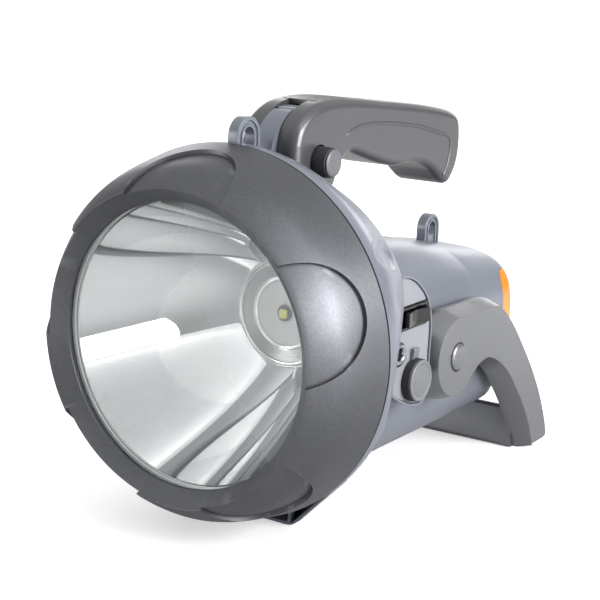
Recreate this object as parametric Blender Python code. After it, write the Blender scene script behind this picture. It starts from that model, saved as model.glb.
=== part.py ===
"""Rechargeable LED spotlight with a turning top handle and a swing-out stand.

Metres, +Z up. The lamp looks along -Y and its control panel is on the +X side.
The origin lies on the floor, under the middle of the resting lamp's length.
Most shapes are drawn from the lamp datum: the centre of the front lip, on the
optical axis, with depth counted rearwards along +Y.
"""
import math

import bmesh
import bpy
from mathutils import Matrix

# Fits shared by all pieces
GAP = 0.0003
RUN = 0.0006
OVERRUN = 0.004
WALL = 0.0026

# Front bezel: raised bands between five sunk petals
LIP_RADIUS = 0.0700
LIP_THICKNESS = 0.0018
RIM_SPREAD = 0.0080
RIM_RADIUS = LIP_RADIUS + RIM_SPREAD
RIM_FORWARD = 0.0082
BEZEL_SPREAD = 0.0162
SEAM_RADIUS = RIM_RADIUS + BEZEL_SPREAD
SEAM_DEPTH = 0.0366
BEZEL_WALL = 0.0026
PETAL_COUNT = 5
PETAL_STEP = 0.0016
PETAL_HALF_WIDTH = 0.0285
PETAL_LENGTH = 0.0325
BEZEL_CURVE_SHARES = ((0.0, 0.0), (0.14, 0.06), (0.40, 0.20), (0.63, 0.36), (0.79, 0.57),
                      (0.92, 0.83), (1.0, 1.0))

# Resting position of the lamp: the bezel stays clear of the floor
BEZEL_LIFT = 0.0080
AXIS_HEIGHT = SEAM_RADIUS + BEZEL_LIFT

# Black ring in the seam between bezel and housing
SEAL_WIDTH = 0.0007
SEAL_DROP = 0.0006
SEAL_HEIGHT = 0.0050

# Lens, gasket and reflector
LENS_THICKNESS = 0.0030
LIP_OVERLAP = 0.0032
SEAT_RADIUS = LIP_RADIUS + LIP_OVERLAP
SEAT_WALL = 0.0020
SEAT_LENGTH = 0.0100
GASKET_THICKNESS = 0.0014
GASKET_WIDTH = 0.0020
FLANGE_THICKNESS = 0.0020
REFLECTOR_WALL = 0.0015
REFLECTOR_MOUTH = LIP_RADIUS - GAP
REFLECTOR_THROAT = 0.0275
REFLECTOR_THROAT_DEPTH = 0.0870
REFLECTOR_COLLAR = 0.0030

# Lamp cup, board, emitter and heat sink
CUP_RIM = 0.0098
CUP_INNER = REFLECTOR_THROAT - CUP_RIM
CUP_FLANGE = REFLECTOR_THROAT + REFLECTOR_WALL
CUP_STEP = 0.0018
CUP_LENGTH = 0.0060
BOARD_THICKNESS = 0.0016
EMITTER_RADIUS = 0.0043
EMITTER_HEIGHT = 0.0011
DIE_SIZE = 0.0050
DIE_HEIGHT = 0.0012
SINK_RADIUS = REFLECTOR_THROAT - RUN
SINK_BASE = 0.0040
SINK_LENGTH = 0.0170
SINK_FINS = 7
SINK_FIN_SHARE = 0.42

# Housing: a bulging head that runs into a rounded battery body
HEAD_START = SEAM_DEPTH + SEAL_WIDTH + 2 * GAP
HEAD_LENGTH = 0.0965
HEAD_CURVE_SHARES = ((0.0, 1.0), (0.045, 0.999), (0.10, 0.988), (0.19, 0.955), (0.30, 0.903),
                     (0.40, 0.854), (0.50, 0.807), (0.585, 0.760), (0.65, 0.718), (0.70, 0.684),
                     (0.77, 0.630), (0.85, 0.555), (0.92, 0.455), (0.97, 0.330), (1.0, 0.2))
HEAD_STEP = 0.0002
HEAD_RADIUS = SEAM_RADIUS - HEAD_STEP
BLEND = 0.0140
BODY_START_SHARE = 0.5917
BODY_START = HEAD_START + HEAD_LENGTH * BODY_START_SHARE
BODY_LENGTH = 0.1570
BODY_REAR = BODY_START + BODY_LENGTH
BODY_HALF_WIDTH = 0.0522
BODY_TOP = 0.0308
BODY_BOTTOM = 0.0760
BODY_CENTRE_DROP = 0.0245
TOP_POWER = 2.7
TOP_POWER_SHARES = ((0.0, 1.0), (0.72, 1.0), (1.0, 1.30))
BOTTOM_POWER = 5.5
BODY_TOP_SHARES = ((0.0, 1.0), (0.24, 1.0), (0.375, 0.955), (0.55, 0.864), (0.686, 0.75),
                   (0.85, 0.575), (1.0, 0.445))
BODY_BOTTOM_SHARES = ((0.0, 1.0), (0.80, 1.0), (0.87, 0.975), (0.93, 0.925), (0.97, 0.865),
                      (1.0, 0.79))
BODY_WIDTH_SHARES = ((0.0, 1.0), (0.92, 1.0), (1.0, 0.995))
STATION_SHARES = (0.0, 0.045, 0.09, 0.14, 0.18, 0.225, 0.262, 0.29, 0.32, 0.355, 0.39,
                  0.43, 0.56, 0.70, 0.81, 0.88, 0.93, 0.965, 1.0)
CAVITY_SHARES = (0.0, 0.09, 0.18, 0.262, 0.32, 0.355, 0.39, 0.43, 0.50, 0.60, 0.81, 0.90,
                 0.96, 1.0)
HOUSING_STEPS = 40
CAVITY_STEPS = 28
TAIL_ROUND = 0.0060

# Handle knuckle: a neck web on the housing between two handle cheeks
KNUCKLE_RADIUS = 0.0217
KNUCKLE_PLACE_SHARE = 0.5430
KNUCKLE_SINK = 0.0128
PIVOT_DEPTH = HEAD_START + HEAD_LENGTH * KNUCKLE_PLACE_SHARE
PIVOT_RISE = HEAD_RADIUS - KNUCKLE_SINK
POCKET_ROOM = 0.0067
POCKET_RADIUS = KNUCKLE_RADIUS + POCKET_ROOM
NECK_STEP = 0.0016
NECK_RADIUS = POCKET_RADIUS - NECK_STEP
NECK_TOOTH = 0.0010
NECK_HALF_THICKNESS = 0.0055
NECK_STEM = 0.0150
KNUCKLE_CLEARANCE = 0.0010
PIN_RADIUS = 0.0040
PIN_FIT = 0.00005

# Handle
HANDLE_HALF_WIDTH = 0.0175
HANDLE_EDGE = 0.0048
HANDLE_REACH = 0.1508
HANDLE_RISE = 0.0294
HANDLE_DROP = 0.0280
HANDLE_FRONT_SHARES = ((-0.140, 0.31), (-0.120, 0.60), (-0.080, 0.80), (-0.025, 0.93),
                       (0.047, 1.0), (0.18, 1.0), (0.315, 0.935), (0.45, 0.85), (0.59, 0.765),
                       (0.71, 0.685), (0.84, 0.575), (0.94, 0.46), (0.985, 0.30), (1.0, 0.0))
HANDLE_REAR_SHARES = ((0.995, -0.42), (0.967, -0.75), (0.92, -0.985), (0.88, -0.94),
                      (0.835, -0.78), (0.78, -0.60), (0.705, -0.455), (0.62, -0.405),
                      (0.535, -0.41), (0.41, -0.27), (0.30, -0.09), (0.215, 0.03), (0.17, -0.05),
                      (0.137, -0.22), (0.118, -0.42))
SLOT_SETBACK = 0.0067
SLOT_WIDTH = 0.0022
SLOT_HALF_LENGTH = 0.0100

# Handle lock button
BUTTON_RADIUS = 0.0080
BUTTON_STAND_OUT = 0.0078
BUTTON_TRAVEL = 0.0040
BUTTON_WALL = 0.0016
BUTTON_CAP_RISE = 0.0014
BUTTON_CAP_RADIUS = 0.0070
BUTTON_SEAT = 0.0060

# Lashing eyelets
EYELET_HALF_THICKNESS = 0.0030
EYELET_GROOVE = 0.0011
FRONT_EYELET_SETBACK = 0.0113
FRONT_EYELET_RADIUS = 0.0098
FRONT_EYELET_RISE = 0.0024
FRONT_EYELET_ROOT = 0.0060
REAR_EYELET_INSET = 0.0145
REAR_EYELET_RADIUS = 0.0085
REAR_EYELET_RISE = 0.0079
REAR_EYELET_ROOT = 0.0073
EYELET_HOLE_SHARE = 0.46
EYELET_GROOVE_SHARE = 0.78
EYELET_LIP_SHARE = 0.60

# Front foot under the head
FOOT_SETBACK = 0.0216
FOOT_LENGTH = 0.0205
FOOT_FRONT = HEAD_START + FOOT_SETBACK
FOOT_BACK = FOOT_FRONT + FOOT_LENGTH
FOOT_HEIGHT = 0.0322
FOOT_FLARE = 0.0315
FOOT_FLAT_HALF = 0.0275
FOOT_TOP_HALF = FOOT_FLAT_HALF + FOOT_FLARE
FOOT_TOP_DROP = AXIS_HEIGHT - FOOT_HEIGHT
FOOT_WALL = 0.0024

# Side control panel on the +X side
PANEL_STAND_OUT = 0.0144
PANEL_FACE = BODY_HALF_WIDTH + PANEL_STAND_OUT
PANEL_RIM = 0.0008
PANEL_RIM_WIDTH = 0.0014
PANEL_PLATE = 0.0016
PANEL_LENGTH = 0.0438
PANEL_LEAD = 0.0152
PANEL_FRONT = BODY_START - PANEL_LEAD
PANEL_REAR = PANEL_FRONT + PANEL_LENGTH
PANEL_HEIGHT = 0.0700
PANEL_TOP = 0.0270
PANEL_SHARES = ((0.02, 0.10), (0.20, 0.0), (0.42, 0.0), (0.62, 0.05), (0.86, 0.17), (0.97, 0.30),
                (1.0, 0.44), (0.98, 0.62), (0.975, 0.86), (0.93, 0.955), (0.80, 0.985),
                (0.60, 0.96), (0.36, 0.90), (0.10, 0.80), (0.0, 0.66), (0.0, 0.28))

# Flat on the head's right flank that clears the panel
FLANK_ANGLE = 7.0
FLANK_STEP = 0.0024
FLANK_OVERLAP = 0.0082
FLANK_SLOPE_SHARE = 0.559

# Mode switch, jack and charging socket: places as (along, down) shares of the panel
SWITCH_PLACE_SHARES = (0.5753, 0.300)
JACK_PLACE_SHARES = (0.290, 0.550)
SOCKET_PLACE_SHARES = (0.6324, 0.7786)
SWITCH_DEPTH = PANEL_FRONT + PANEL_LENGTH * SWITCH_PLACE_SHARES[0]
SWITCH_RISE = PANEL_TOP - PANEL_HEIGHT * SWITCH_PLACE_SHARES[1]
SWITCH_HALF_LENGTH = 0.0140
SWITCH_HALF_HEIGHT = 0.0062
SWITCH_FRAME = 0.0016
SWITCH_FRAME_RISE = 0.0012
SWITCH_BODY_DEPTH = 0.0070
ROCKER_RISE = 0.0034
ROCKER_ANGLE = 9.0
JACK_DEPTH = PANEL_FRONT + PANEL_LENGTH * JACK_PLACE_SHARES[0]
JACK_DROP = PANEL_HEIGHT * JACK_PLACE_SHARES[1] - PANEL_TOP
JACK_RADIUS = 0.0058
JACK_HOLE = 0.0030
JACK_RISE = 0.0016
JACK_BODY = 0.0090
SOCKET_DEPTH = PANEL_FRONT + PANEL_LENGTH * SOCKET_PLACE_SHARES[0]
SOCKET_DROP = PANEL_HEIGHT * SOCKET_PLACE_SHARES[1] - PANEL_TOP
SOCKET_RADIUS = 0.0088
SOCKET_RISE = 0.0032
SOCKET_HOLE = 0.0050
SOCKET_BODY = 0.0120
CAP_WALL = 0.0014
CAP_ROOM = 0.0010
CAP_ROOF = 0.0018
CAP_RADIUS = SOCKET_RADIUS + CAP_ROOM + CAP_WALL
CAP_HEIGHT = SOCKET_RISE + RUN + CAP_ROOF
CAP_EDGE = 0.0010
CAP_EAR_HALF = 0.0028
CAP_EAR_LENGTH = 0.0046
CAP_HINGE_RADIUS = 0.0011

# Stand
STAND_HUB_RADIUS = 0.0245
HUB_CLEARANCE = 0.0010
STAND_PIVOT_DEPTH = PANEL_REAR + PANEL_RIM_WIDTH + HUB_CLEARANCE + STAND_HUB_RADIUS
STAND_PIVOT_DROP = BODY_CENTRE_DROP
STAND_CLEARANCE = 0.0038
STAND_INNER = BODY_HALF_WIDTH + STAND_CLEARANCE
STAND_WALL = 0.0050
STAND_CROWN = 0.0090
STAND_FACE = STAND_INNER + STAND_WALL + STAND_CROWN
STAND_BEVEL = 0.0032
STAND_OVERHANG = 0.0195
STAND_REACH = BODY_REAR + STAND_OVERHANG - STAND_PIVOT_DEPTH
STAND_FALL = AXIS_HEIGHT - STAND_PIVOT_DROP
STAND_TOP_SHARES = ((0.0, 0.315), (0.20, 0.305), (0.36, 0.300), (0.43, 0.255), (0.54, 0.12),
                    (0.655, -0.07), (0.79, -0.32), (0.90, -0.57), (0.975, -0.80), (1.0, -0.93),
                    (0.985, -0.98), (0.95, -1.0))
STAND_UNDER_SHARES = ((0.803, -1.0), (0.787, -0.942), (0.748, -0.802), (0.67, -0.62),
                      (0.582, -0.457), (0.50, -0.32), (0.408, -0.216), (0.296, -0.142),
                      (0.213, -0.160))
STAND_PIN_RADIUS = 0.0043
STAND_CAP_SEAT = 0.0015
BAR_FOOT_INSET = 0.0095
BAR_TOP_INSET = 0.0065
BAR_TOP_SAG = 0.0015
BAR_FOOT_DEPTH = BODY_REAR - BAR_FOOT_INSET
BAR_TOP_DEPTH = BODY_REAR - BAR_TOP_INSET
BAR_TOP_DROP = BODY_BOTTOM + BAR_TOP_SAG
BAR_THICKNESS = 0.0050
BAR_HEEL = 0.0100
HUB_BOSS_RADIUS = 0.0140
STAND_CAP_RADIUS = 0.0074
STAND_CAP_RISE = 0.0018

# Rear amber lens
TAIL_LENS_LENGTH = 0.0105
TAIL_LENS_START = BODY_REAR - TAIL_LENS_LENGTH
TAIL_LENS_TOP_SHARE = 0.14
TAIL_LENS_LOW_SHARE = 0.717
TAIL_LENS_TOP = BODY_TOP * TAIL_LENS_TOP_SHARE
TAIL_LENS_BOTTOM = BODY_BOTTOM * TAIL_LENS_LOW_SHARE
TAIL_LENS_WALL = 0.0022
TAIL_LENS_SKEW = 0.0085
TAIL_BOARD_INSET = 0.0035
TAIL_BOARD_THICKNESS = 0.0016
TAIL_LED_RADIUS = 0.0025
TAIL_LED_HEIGHT = 0.0035
TAIL_LED_COUNT = 4
TAIL_LED_PITCH = 0.0180

# Battery and charge board
BATTERY_WIDTH = 0.0700
BATTERY_LENGTH_SHARE = 0.5605
BATTERY_LENGTH = BODY_LENGTH * BATTERY_LENGTH_SHARE
BATTERY_HEIGHT = 0.0480
BATTERY_SETBACK = 0.0380
BATTERY_START = BODY_START + BATTERY_SETBACK
BATTERY_TERMINAL = 0.0063
BATTERY_TERMINAL_RISE = 0.0030
SHELF_THICKNESS = 0.0030
SHELF_FOOT_SPREAD = 0.0440
CHARGE_BOARD_LENGTH = 0.0600
CHARGE_BOARD_WIDTH = 0.0500
CHARGE_BOARD_LIFT = 0.0050
POST_RADIUS = 0.0026


# Fineness of round shapes
FINE = 44
MEDIUM = 32
COARSE = 18


def clear_scene():
    """Empty the file before the lamp is built."""
    for ob in list(bpy.data.objects):
        bpy.data.objects.remove(ob, do_unlink=True)


def material(name, colour, roughness, metallic=0.0, alpha=1.0):
    """Return a plain finish in one colour."""
    found = bpy.data.materials.get(name)
    if found:
        return found
    made = bpy.data.materials.new(name)
    made.use_nodes = True
    shader = made.node_tree.nodes["Principled BSDF"]
    shader.inputs["Base Color"].default_value = (*colour, 1.0)
    shader.inputs["Roughness"].default_value = roughness
    shader.inputs["Metallic"].default_value = metallic
    shader.inputs["Alpha"].default_value = alpha
    made.diffuse_color = (*colour, alpha)
    return made


def empty(name, location, parent=None):
    """Make a named frame that pieces hang from."""
    frame = bpy.data.objects.new(name, None)
    bpy.context.scene.collection.objects.link(frame)
    frame.parent = parent
    frame.location = location
    return frame


def piece(name, bm, finish, parent, location=(0, 0, 0), rotation=(0, 0, 0), sharp=35):
    """Turn a mesh into a named object on its frame."""
    bmesh.ops.recalc_face_normals(bm, faces=bm.faces[:])
    mesh = bpy.data.meshes.new(name)
    bm.to_mesh(mesh)
    bm.free()
    mesh.shade_smooth()
    mesh.set_sharp_from_angle(angle=math.radians(sharp))
    ob = bpy.data.objects.new(name, mesh)
    bpy.context.scene.collection.objects.link(ob)
    if finish:
        mesh.materials.append(finish)
    ob.parent = parent
    ob.location = location
    ob.rotation_euler = rotation
    return ob


def repeated(name, bm, finish, parent, places, rotation=(0, 0, 0)):
    """Make numbered copies of one small piece that share its mesh."""
    first = piece(name + "_1", bm, finish, parent, places[0], rotation)
    for number, place in enumerate(places[1:], 2):
        ob = bpy.data.objects.new(name + "_" + str(number), first.data)
        bpy.context.scene.collection.objects.link(ob)
        ob.parent = parent
        ob.location = place
        ob.rotation_euler = rotation


def cutter(name, bm, parent, location=(0, 0, 0), rotation=(0, 0, 0)):
    """Make a guide shape that only cuts or joins."""
    ob = piece(name, bm, None, parent, location, rotation)
    ob.hide_render = True
    ob.display_type = "WIRE"
    return ob


def combine(ob, other, operation, solver="EXACT"):
    """Join, cut or intersect a piece with another shape."""
    mod = ob.modifiers.new(operation.title() + " " + other.name, "BOOLEAN")
    mod.operation = operation
    mod.solver = solver
    mod.object = other


def soften(ob, width, segments=2, angle=40):
    """Round the sharp edges of a plain moulding."""
    mod = ob.modifiers.new("Rounded edges", "BEVEL")
    mod.width = width
    mod.segments = segments
    mod.limit_method = "ANGLE"
    mod.angle_limit = math.radians(angle)


def turned(profile, steps):
    """Spin a closed (radius, height) profile about the Z axis."""
    bm = bmesh.new()
    verts = [bm.verts.new((radius, 0, height)) for radius, height in profile]
    on_axis = profile[0][0] == 0 and profile[-1][0] == 0
    edges = [bm.edges.new(pair) for pair in zip(verts, verts[1:])]
    if not on_axis:
        edges.append(bm.edges.new((verts[-1], verts[0])))
    bmesh.ops.spin(bm, geom=verts + edges, cent=(0, 0, 0), axis=(0, 0, 1), dvec=(0, 0, 0),
                   angle=math.tau, steps=steps, use_merge=True, use_duplicate=False)
    bmesh.ops.remove_doubles(bm, verts=bm.verts[:], dist=GAP / 100)
    return bm


def skinned(rings):
    """Skin a row of closed rings and cap both ends."""
    bm = bmesh.new()
    rows = [[bm.verts.new(point) for point in ring] for ring in rings]
    for low, high in zip(rows, rows[1:]):
        count = len(low)
        for i in range(count):
            j = (i + 1) % count
            bm.faces.new((low[i], low[j], high[j], high[i]))
    bm.faces.new(rows[0])
    bm.faces.new(rows[-1])
    bmesh.ops.recalc_face_normals(bm, faces=bm.faces[:])
    return bm


def side_prism(outline, x_low, x_high):
    """Extrude a (depth, height) outline across the lamp, along X."""
    return skinned([[(x, depth, height) for depth, height in outline] for x in (x_low, x_high)])


def depth_prism(outline, y_low, y_high):
    """Extrude an (x, height) outline along the lamp, along Y."""
    return skinned([[(x, y, height) for x, height in outline] for y in (y_low, y_high)])


def block(x_low, x_high, y_low, y_high, z_low, z_high):
    """A plain box from its six limits."""
    return side_prism(((y_low, z_low), (y_high, z_low), (y_high, z_high), (y_low, z_high)),
                      x_low, x_high)


def arc(centre, radius, start, end, steps):
    """Points along an arc, in degrees from +depth towards +height."""
    points = []
    for i in range(steps + 1):
        turn = math.radians(start + (end - start) * i / steps)
        points.append((centre[0] + radius * math.cos(turn), centre[1] + radius * math.sin(turn)))
    return points


def curve_through(points, steps):
    """A smooth open line through its points."""
    line = []
    last = len(points) - 1
    for i in range(last):
        before = points[max(i - 1, 0)]
        start = points[i]
        end = points[i + 1]
        after = points[min(i + 2, last)]
        for k in range(steps):
            t = k / steps
            line.append(tuple(
                0.5 * (2 * b + (c - a) * t + (2 * a - 5 * b + 4 * c - d) * t * t
                       + (3 * b - a - 3 * c + d) * t ** 3)
                for a, b, c, d in zip(before, start, end, after)))
    line.append(points[last])
    return line


def read_shares(shares, along):
    """Read a table of (place, value) shares at a place between 0 and 1."""
    if along <= shares[0][0]:
        return shares[0][1]
    for (low, first), (high, second) in zip(shares, shares[1:]):
        if along <= high:
            return first + (second - first) * (along - low) / (high - low)
    return shares[-1][1]


def join_meshes(*parts):
    """Put several closed shapes into one mesh."""
    whole = bmesh.new()
    for part in parts:
        mesh = bpy.data.meshes.new("part")
        part.to_mesh(mesh)
        part.free()
        whole.from_mesh(mesh)
        bpy.data.meshes.remove(mesh)
    return whole


def along_lamp():
    """Rotation that lays a turned piece along the optical axis."""
    return (-math.pi / 2, 0, 0)


def across_lamp():
    """Rotation that lays a turned piece along +X."""
    return (0, math.pi / 2, 0)


# Bezel and optics

def bezel_curve(drop):
    """Outer line of the bezel, sunk by a drop, as (radius, depth) from rim to seam."""
    line = []
    for radial, along in BEZEL_CURVE_SHARES:
        radius = RIM_RADIUS + (SEAM_RADIUS - RIM_RADIUS) * radial
        depth = -RIM_FORWARD + (SEAM_DEPTH + RIM_FORWARD) * along
        line.append((radius, depth))
    if not drop:
        return line
    sunk = []
    for i, (radius, depth) in enumerate(line):
        before = line[max(i - 1, 0)]
        after = line[min(i + 1, len(line) - 1)]
        run = after[0] - before[0]
        climb = after[1] - before[1]
        size = math.hypot(run, climb)
        sunk.append((radius - drop * climb / size, depth + drop * run / size))
    return sunk


def build_bezel(frame, finish):
    """Bezel ring with its lens seat and five sunk petals."""
    outer = bezel_curve(0)
    inner = bezel_curve(BEZEL_WALL)
    seat_end = LIP_THICKNESS + SEAT_LENGTH
    shell_inner = [(radius, min(depth, SEAM_DEPTH)) for radius, depth in inner[2:]]
    shell_inner[-1] = (SEAM_RADIUS - BEZEL_WALL, SEAM_DEPTH)
    profile = [(LIP_RADIUS, 0)] + outer + shell_inner[::-1]
    profile += [(SEAT_RADIUS + SEAT_WALL, LIP_THICKNESS),
                (SEAT_RADIUS + SEAT_WALL, seat_end),
                (SEAT_RADIUS, seat_end),
                (SEAT_RADIUS, LIP_THICKNESS),
                (LIP_RADIUS, LIP_THICKNESS)]
    bezel = piece("front_bezel", turned(profile, FINE), finish, frame, rotation=along_lamp())
    sunk = bezel_curve(PETAL_STEP)
    sunk = sunk[:-1]
    sunk[0] = (sunk[1][0] - (sunk[2][0] - sunk[1][0]), sunk[1][1] - (sunk[2][1] - sunk[1][1]))
    far = SEAM_RADIUS + OVERRUN
    layer = [(far, sunk[0][1] - OVERRUN), (sunk[0][0], sunk[0][1] - OVERRUN)]
    layer += sunk + [(far, sunk[-1][1])]
    petals = cutter("petal_layer", turned(layer, FINE), frame, rotation=along_lamp())
    prisms = []
    for number in range(PETAL_COUNT):
        outline = []
        for across, back in arc((0, 0), 1, 0, 180, COARSE * 2 // 3):
            outline.append((across * PETAL_HALF_WIDTH, back * PETAL_LENGTH - RIM_FORWARD))
        outline.append((-PETAL_HALF_WIDTH, -RIM_FORWARD - OVERRUN - PETAL_STEP))
        outline.append((PETAL_HALF_WIDTH, -RIM_FORWARD - OVERRUN - PETAL_STEP))
        low = LIP_RADIUS / 2
        high = SEAM_RADIUS + OVERRUN + OVERRUN
        prism = skinned([[(across, back, height) for across, back in outline]
                         for height in (low, high)])
        turn = Matrix.Rotation(math.tau * number / PETAL_COUNT, 4, "Y")
        bmesh.ops.transform(prism, matrix=turn, verts=prism.verts[:])
        prisms.append(prism)
    outlines = cutter("petal_outlines", join_meshes(*prisms), frame)
    combine(petals, outlines, "INTERSECT")
    combine(bezel, petals, "DIFFERENCE")
    return bezel


def build_seal(frame, finish):
    """Black ring that fills the seam."""
    top = SEAM_RADIUS - SEAL_DROP
    near = SEAM_DEPTH + GAP
    far = HEAD_START - GAP
    profile = ((top - SEAL_HEIGHT, near), (top, near), (top, far), (top - SEAL_HEIGHT, far))
    piece("seam_ring", turned(profile, FINE), finish, frame, rotation=along_lamp())


def lens_front():
    """Depth of the lens face behind the lip."""
    return LIP_THICKNESS + GAP


def gasket_front():
    return lens_front() + LENS_THICKNESS + GAP


def flange_front():
    return gasket_front() + GASKET_THICKNESS + GAP


def build_optics(frame, clear, rubber, chrome):
    """Lens, gasket and paraboloid reflector in the bezel's seat."""
    edge = SEAT_RADIUS - GAP
    front = lens_front()
    lens = ((0, front), (edge, front), (edge, front + LENS_THICKNESS), (0, front + LENS_THICKNESS))
    piece("lens", turned(lens, MEDIUM), clear, frame, rotation=along_lamp())
    front = gasket_front()
    back = front + GASKET_THICKNESS
    ring = ((edge - GASKET_WIDTH, front), (edge, front), (edge, back), (edge - GASKET_WIDTH, back))
    piece("lens_gasket", turned(ring, MEDIUM), rubber, frame, rotation=along_lamp())
    front = flange_front()
    inside = parabola(front, 0)
    outside = parabola(front + FLANGE_THICKNESS, REFLECTOR_WALL)
    throat = REFLECTOR_THROAT_DEPTH
    profile = [(edge, front + FLANGE_THICKNESS), (edge, front)] + inside
    profile += [(REFLECTOR_THROAT, throat + REFLECTOR_COLLAR),
                (REFLECTOR_THROAT + REFLECTOR_WALL, throat + REFLECTOR_COLLAR)]
    profile += outside[::-1]
    piece("reflector", turned(profile, MEDIUM), chrome, frame, rotation=along_lamp())


def parabola(front, offset):
    """Points of the reflector wall from its mouth to its throat."""
    mouth_depth = flange_front()
    spread = REFLECTOR_MOUTH ** 2 - REFLECTOR_THROAT ** 2
    scale = spread / (REFLECTOR_THROAT_DEPTH - mouth_depth)
    apex = REFLECTOR_THROAT_DEPTH + REFLECTOR_THROAT ** 2 / scale
    points = []
    steps = COARSE // 3
    for i in range(steps + 1):
        share = (i / steps) ** 0.8
        depth = front + (REFLECTOR_THROAT_DEPTH - front) * share
        radius = math.sqrt(scale * (apex - depth))
        points.append((radius + offset, depth))
    return points


def cup_back():
    """Depth where the lamp cup ends and the heat sink starts."""
    return REFLECTOR_THROAT_DEPTH + CUP_LENGTH


def build_lamp(frame, chrome, white, dark, yellow, alloy):
    """Lamp cup, round board, emitter and finned heat sink."""
    front = REFLECTOR_THROAT_DEPTH
    back = cup_back()
    collar = front + REFLECTOR_COLLAR + GAP
    inner = REFLECTOR_THROAT - RUN
    cup = ((inner, front), (inner, collar), (CUP_FLANGE, collar), (CUP_FLANGE, back),
           (CUP_INNER, back), (CUP_INNER, front + CUP_STEP))
    piece("lamp_cup", turned(cup, MEDIUM), chrome, frame, rotation=along_lamp())
    board_front = front + CUP_STEP + GAP
    board_back = board_front + BOARD_THICKNESS
    edge = CUP_INNER - GAP
    board = ((0, board_front), (edge, board_front), (edge, board_back), (0, board_back))
    piece("led_board", turned(board, MEDIUM), white, frame, rotation=along_lamp())
    base_back = board_front - GAP
    base_front = base_back - EMITTER_HEIGHT
    base = ((0, base_front), (EMITTER_RADIUS, base_front), (EMITTER_RADIUS, base_back),
            (0, base_back))
    piece("led_package", turned(base, COARSE), dark, frame, rotation=along_lamp())
    half = DIE_SIZE / 2
    die = block(-half, half, base_front - GAP - DIE_HEIGHT, base_front - GAP, -half, half)
    piece("led_die", die, yellow, frame)
    sink_front = board_back + GAP
    fins_start = back + GAP + SINK_BASE
    sink_profile = ((0, sink_front), (edge, sink_front), (edge, back + GAP),
                    (SINK_RADIUS, back + GAP), (SINK_RADIUS, fins_start), (0, fins_start))
    sink = piece("heat_sink", turned(sink_profile, COARSE), alloy, frame, rotation=along_lamp())
    pitch = 2 * SINK_RADIUS / SINK_FINS
    fin = pitch * SINK_FIN_SHARE / 2
    fins = []
    for number in range(SINK_FINS):
        middle = (number + 0.5) * pitch - SINK_RADIUS
        reach = math.sqrt(SINK_RADIUS ** 2 - (abs(middle) + fin) ** 2)
        fins.append(block(middle - fin, middle + fin, fins_start - GAP,
                          sink_front + SINK_LENGTH, -reach, reach))
    combine(sink, cutter("sink_fins", join_meshes(*fins), frame), "UNION")


# Housing

def body_share(depth):
    return (depth - BODY_START) / (BODY_REAR - BODY_START)


def head_radius(depth):
    """Radius of the bulging head, or zero behind it."""
    along = (depth - HEAD_START) / HEAD_LENGTH
    if along > 1:
        return 0
    return HEAD_RADIUS * read_shares(HEAD_CURVE_SHARES, along)


def body_radius(depth, turn, inset):
    """Distance from the optical axis to the body's wall in one direction."""
    along = body_share(depth)
    half = BODY_HALF_WIDTH * read_shares(BODY_WIDTH_SHARES, along) - inset
    middle = -BODY_CENTRE_DROP
    top = BODY_TOP * read_shares(BODY_TOP_SHARES, along) - middle - inset
    bottom = BODY_BOTTOM * read_shares(BODY_BOTTOM_SHARES, along) + middle - inset
    power = TOP_POWER * read_shares(TOP_POWER_SHARES, along)
    low = 0.0
    high = 2 * (BODY_BOTTOM + BODY_HALF_WIDTH)
    for _ in range(34):
        test = (low + high) / 2
        across = abs(test * math.cos(turn)) / half
        rise = test * math.sin(turn) - middle
        if rise > 0:
            size = across ** power + (rise / top) ** power
        else:
            size = across ** BOTTOM_POWER + (-rise / bottom) ** BOTTOM_POWER
        if size < 1:
            low = test
        else:
            high = test
    return (low + high) / 2


def section(depth, steps, inset):
    """One ring of the housing: the head and the body, smoothly blended."""
    ring = []
    for number in range(steps):
        turn = math.tau * (number + 0.5) / steps - math.pi / 2
        body = body_radius(depth, turn, inset)
        head = max(head_radius(depth) - inset, 0)
        near = max(BLEND - abs(body - head), 0) / BLEND
        radius = max(body, head) + near ** 2 * BLEND / 4
        if depth < BODY_START:
            keep = (BODY_START - depth) / (BODY_START - HEAD_START)
            keep = min(1, keep * 2)
            radius = radius * (1 - keep) + head * keep
        ring.append((radius * math.cos(turn), depth, radius * math.sin(turn)))
    return ring


def scaled_ring(ring, depth, inset):
    """The last ring drawn in by an inset, for a rounded tail edge."""
    middle = -BODY_CENTRE_DROP
    out = []
    for x, _, z in ring:
        size = math.hypot(x, z - middle)
        keep = (size - inset) / size
        out.append((x * keep, depth, middle + (z - middle) * keep))
    return out


def housing_rings(steps, shares, inset, start, end):
    """Rings of the housing's skin, or of a shape inset from it, front to rear."""
    length = BODY_REAR - HEAD_START
    depths = [HEAD_START + length * share for share in shares]
    depths = [depth for depth in depths if start < depth < end - TAIL_ROUND]
    depths = [start] + depths + [end - TAIL_ROUND]
    rings = [section(depth, steps, inset) for depth in depths]
    last = rings[-1]
    for share in (0.5, 0.85, 1.0):
        pull = TAIL_ROUND * (1 - math.sqrt(1 - share ** 2))
        rings.append(scaled_ring(last, end - TAIL_ROUND * (1 - share), pull))
    return rings


def flank_block(inset):
    """Shape outside the flat on the head's right flank, or outside its inner wall."""
    reach = PANEL_FACE + FLANK_STEP - inset
    start = HEAD_START - OVERRUN
    end = PANEL_FRONT + FLANK_OVERLAP
    far = SEAM_RADIUS * 2
    outline = ((reach + (end - start) * FLANK_SLOPE_SHARE, start), (far, start),
               (far, PANEL_REAR), (reach, PANEL_REAR), (reach, end))
    block_mesh = skinned([[(across, back, height) for across, back in outline]
                          for height in (-SEAM_RADIUS, SEAM_RADIUS)])
    turn = Matrix.Rotation(math.radians(FLANK_ANGLE), 4, "Y")
    bmesh.ops.transform(block_mesh, matrix=turn, verts=block_mesh.verts[:])
    return block_mesh


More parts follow.
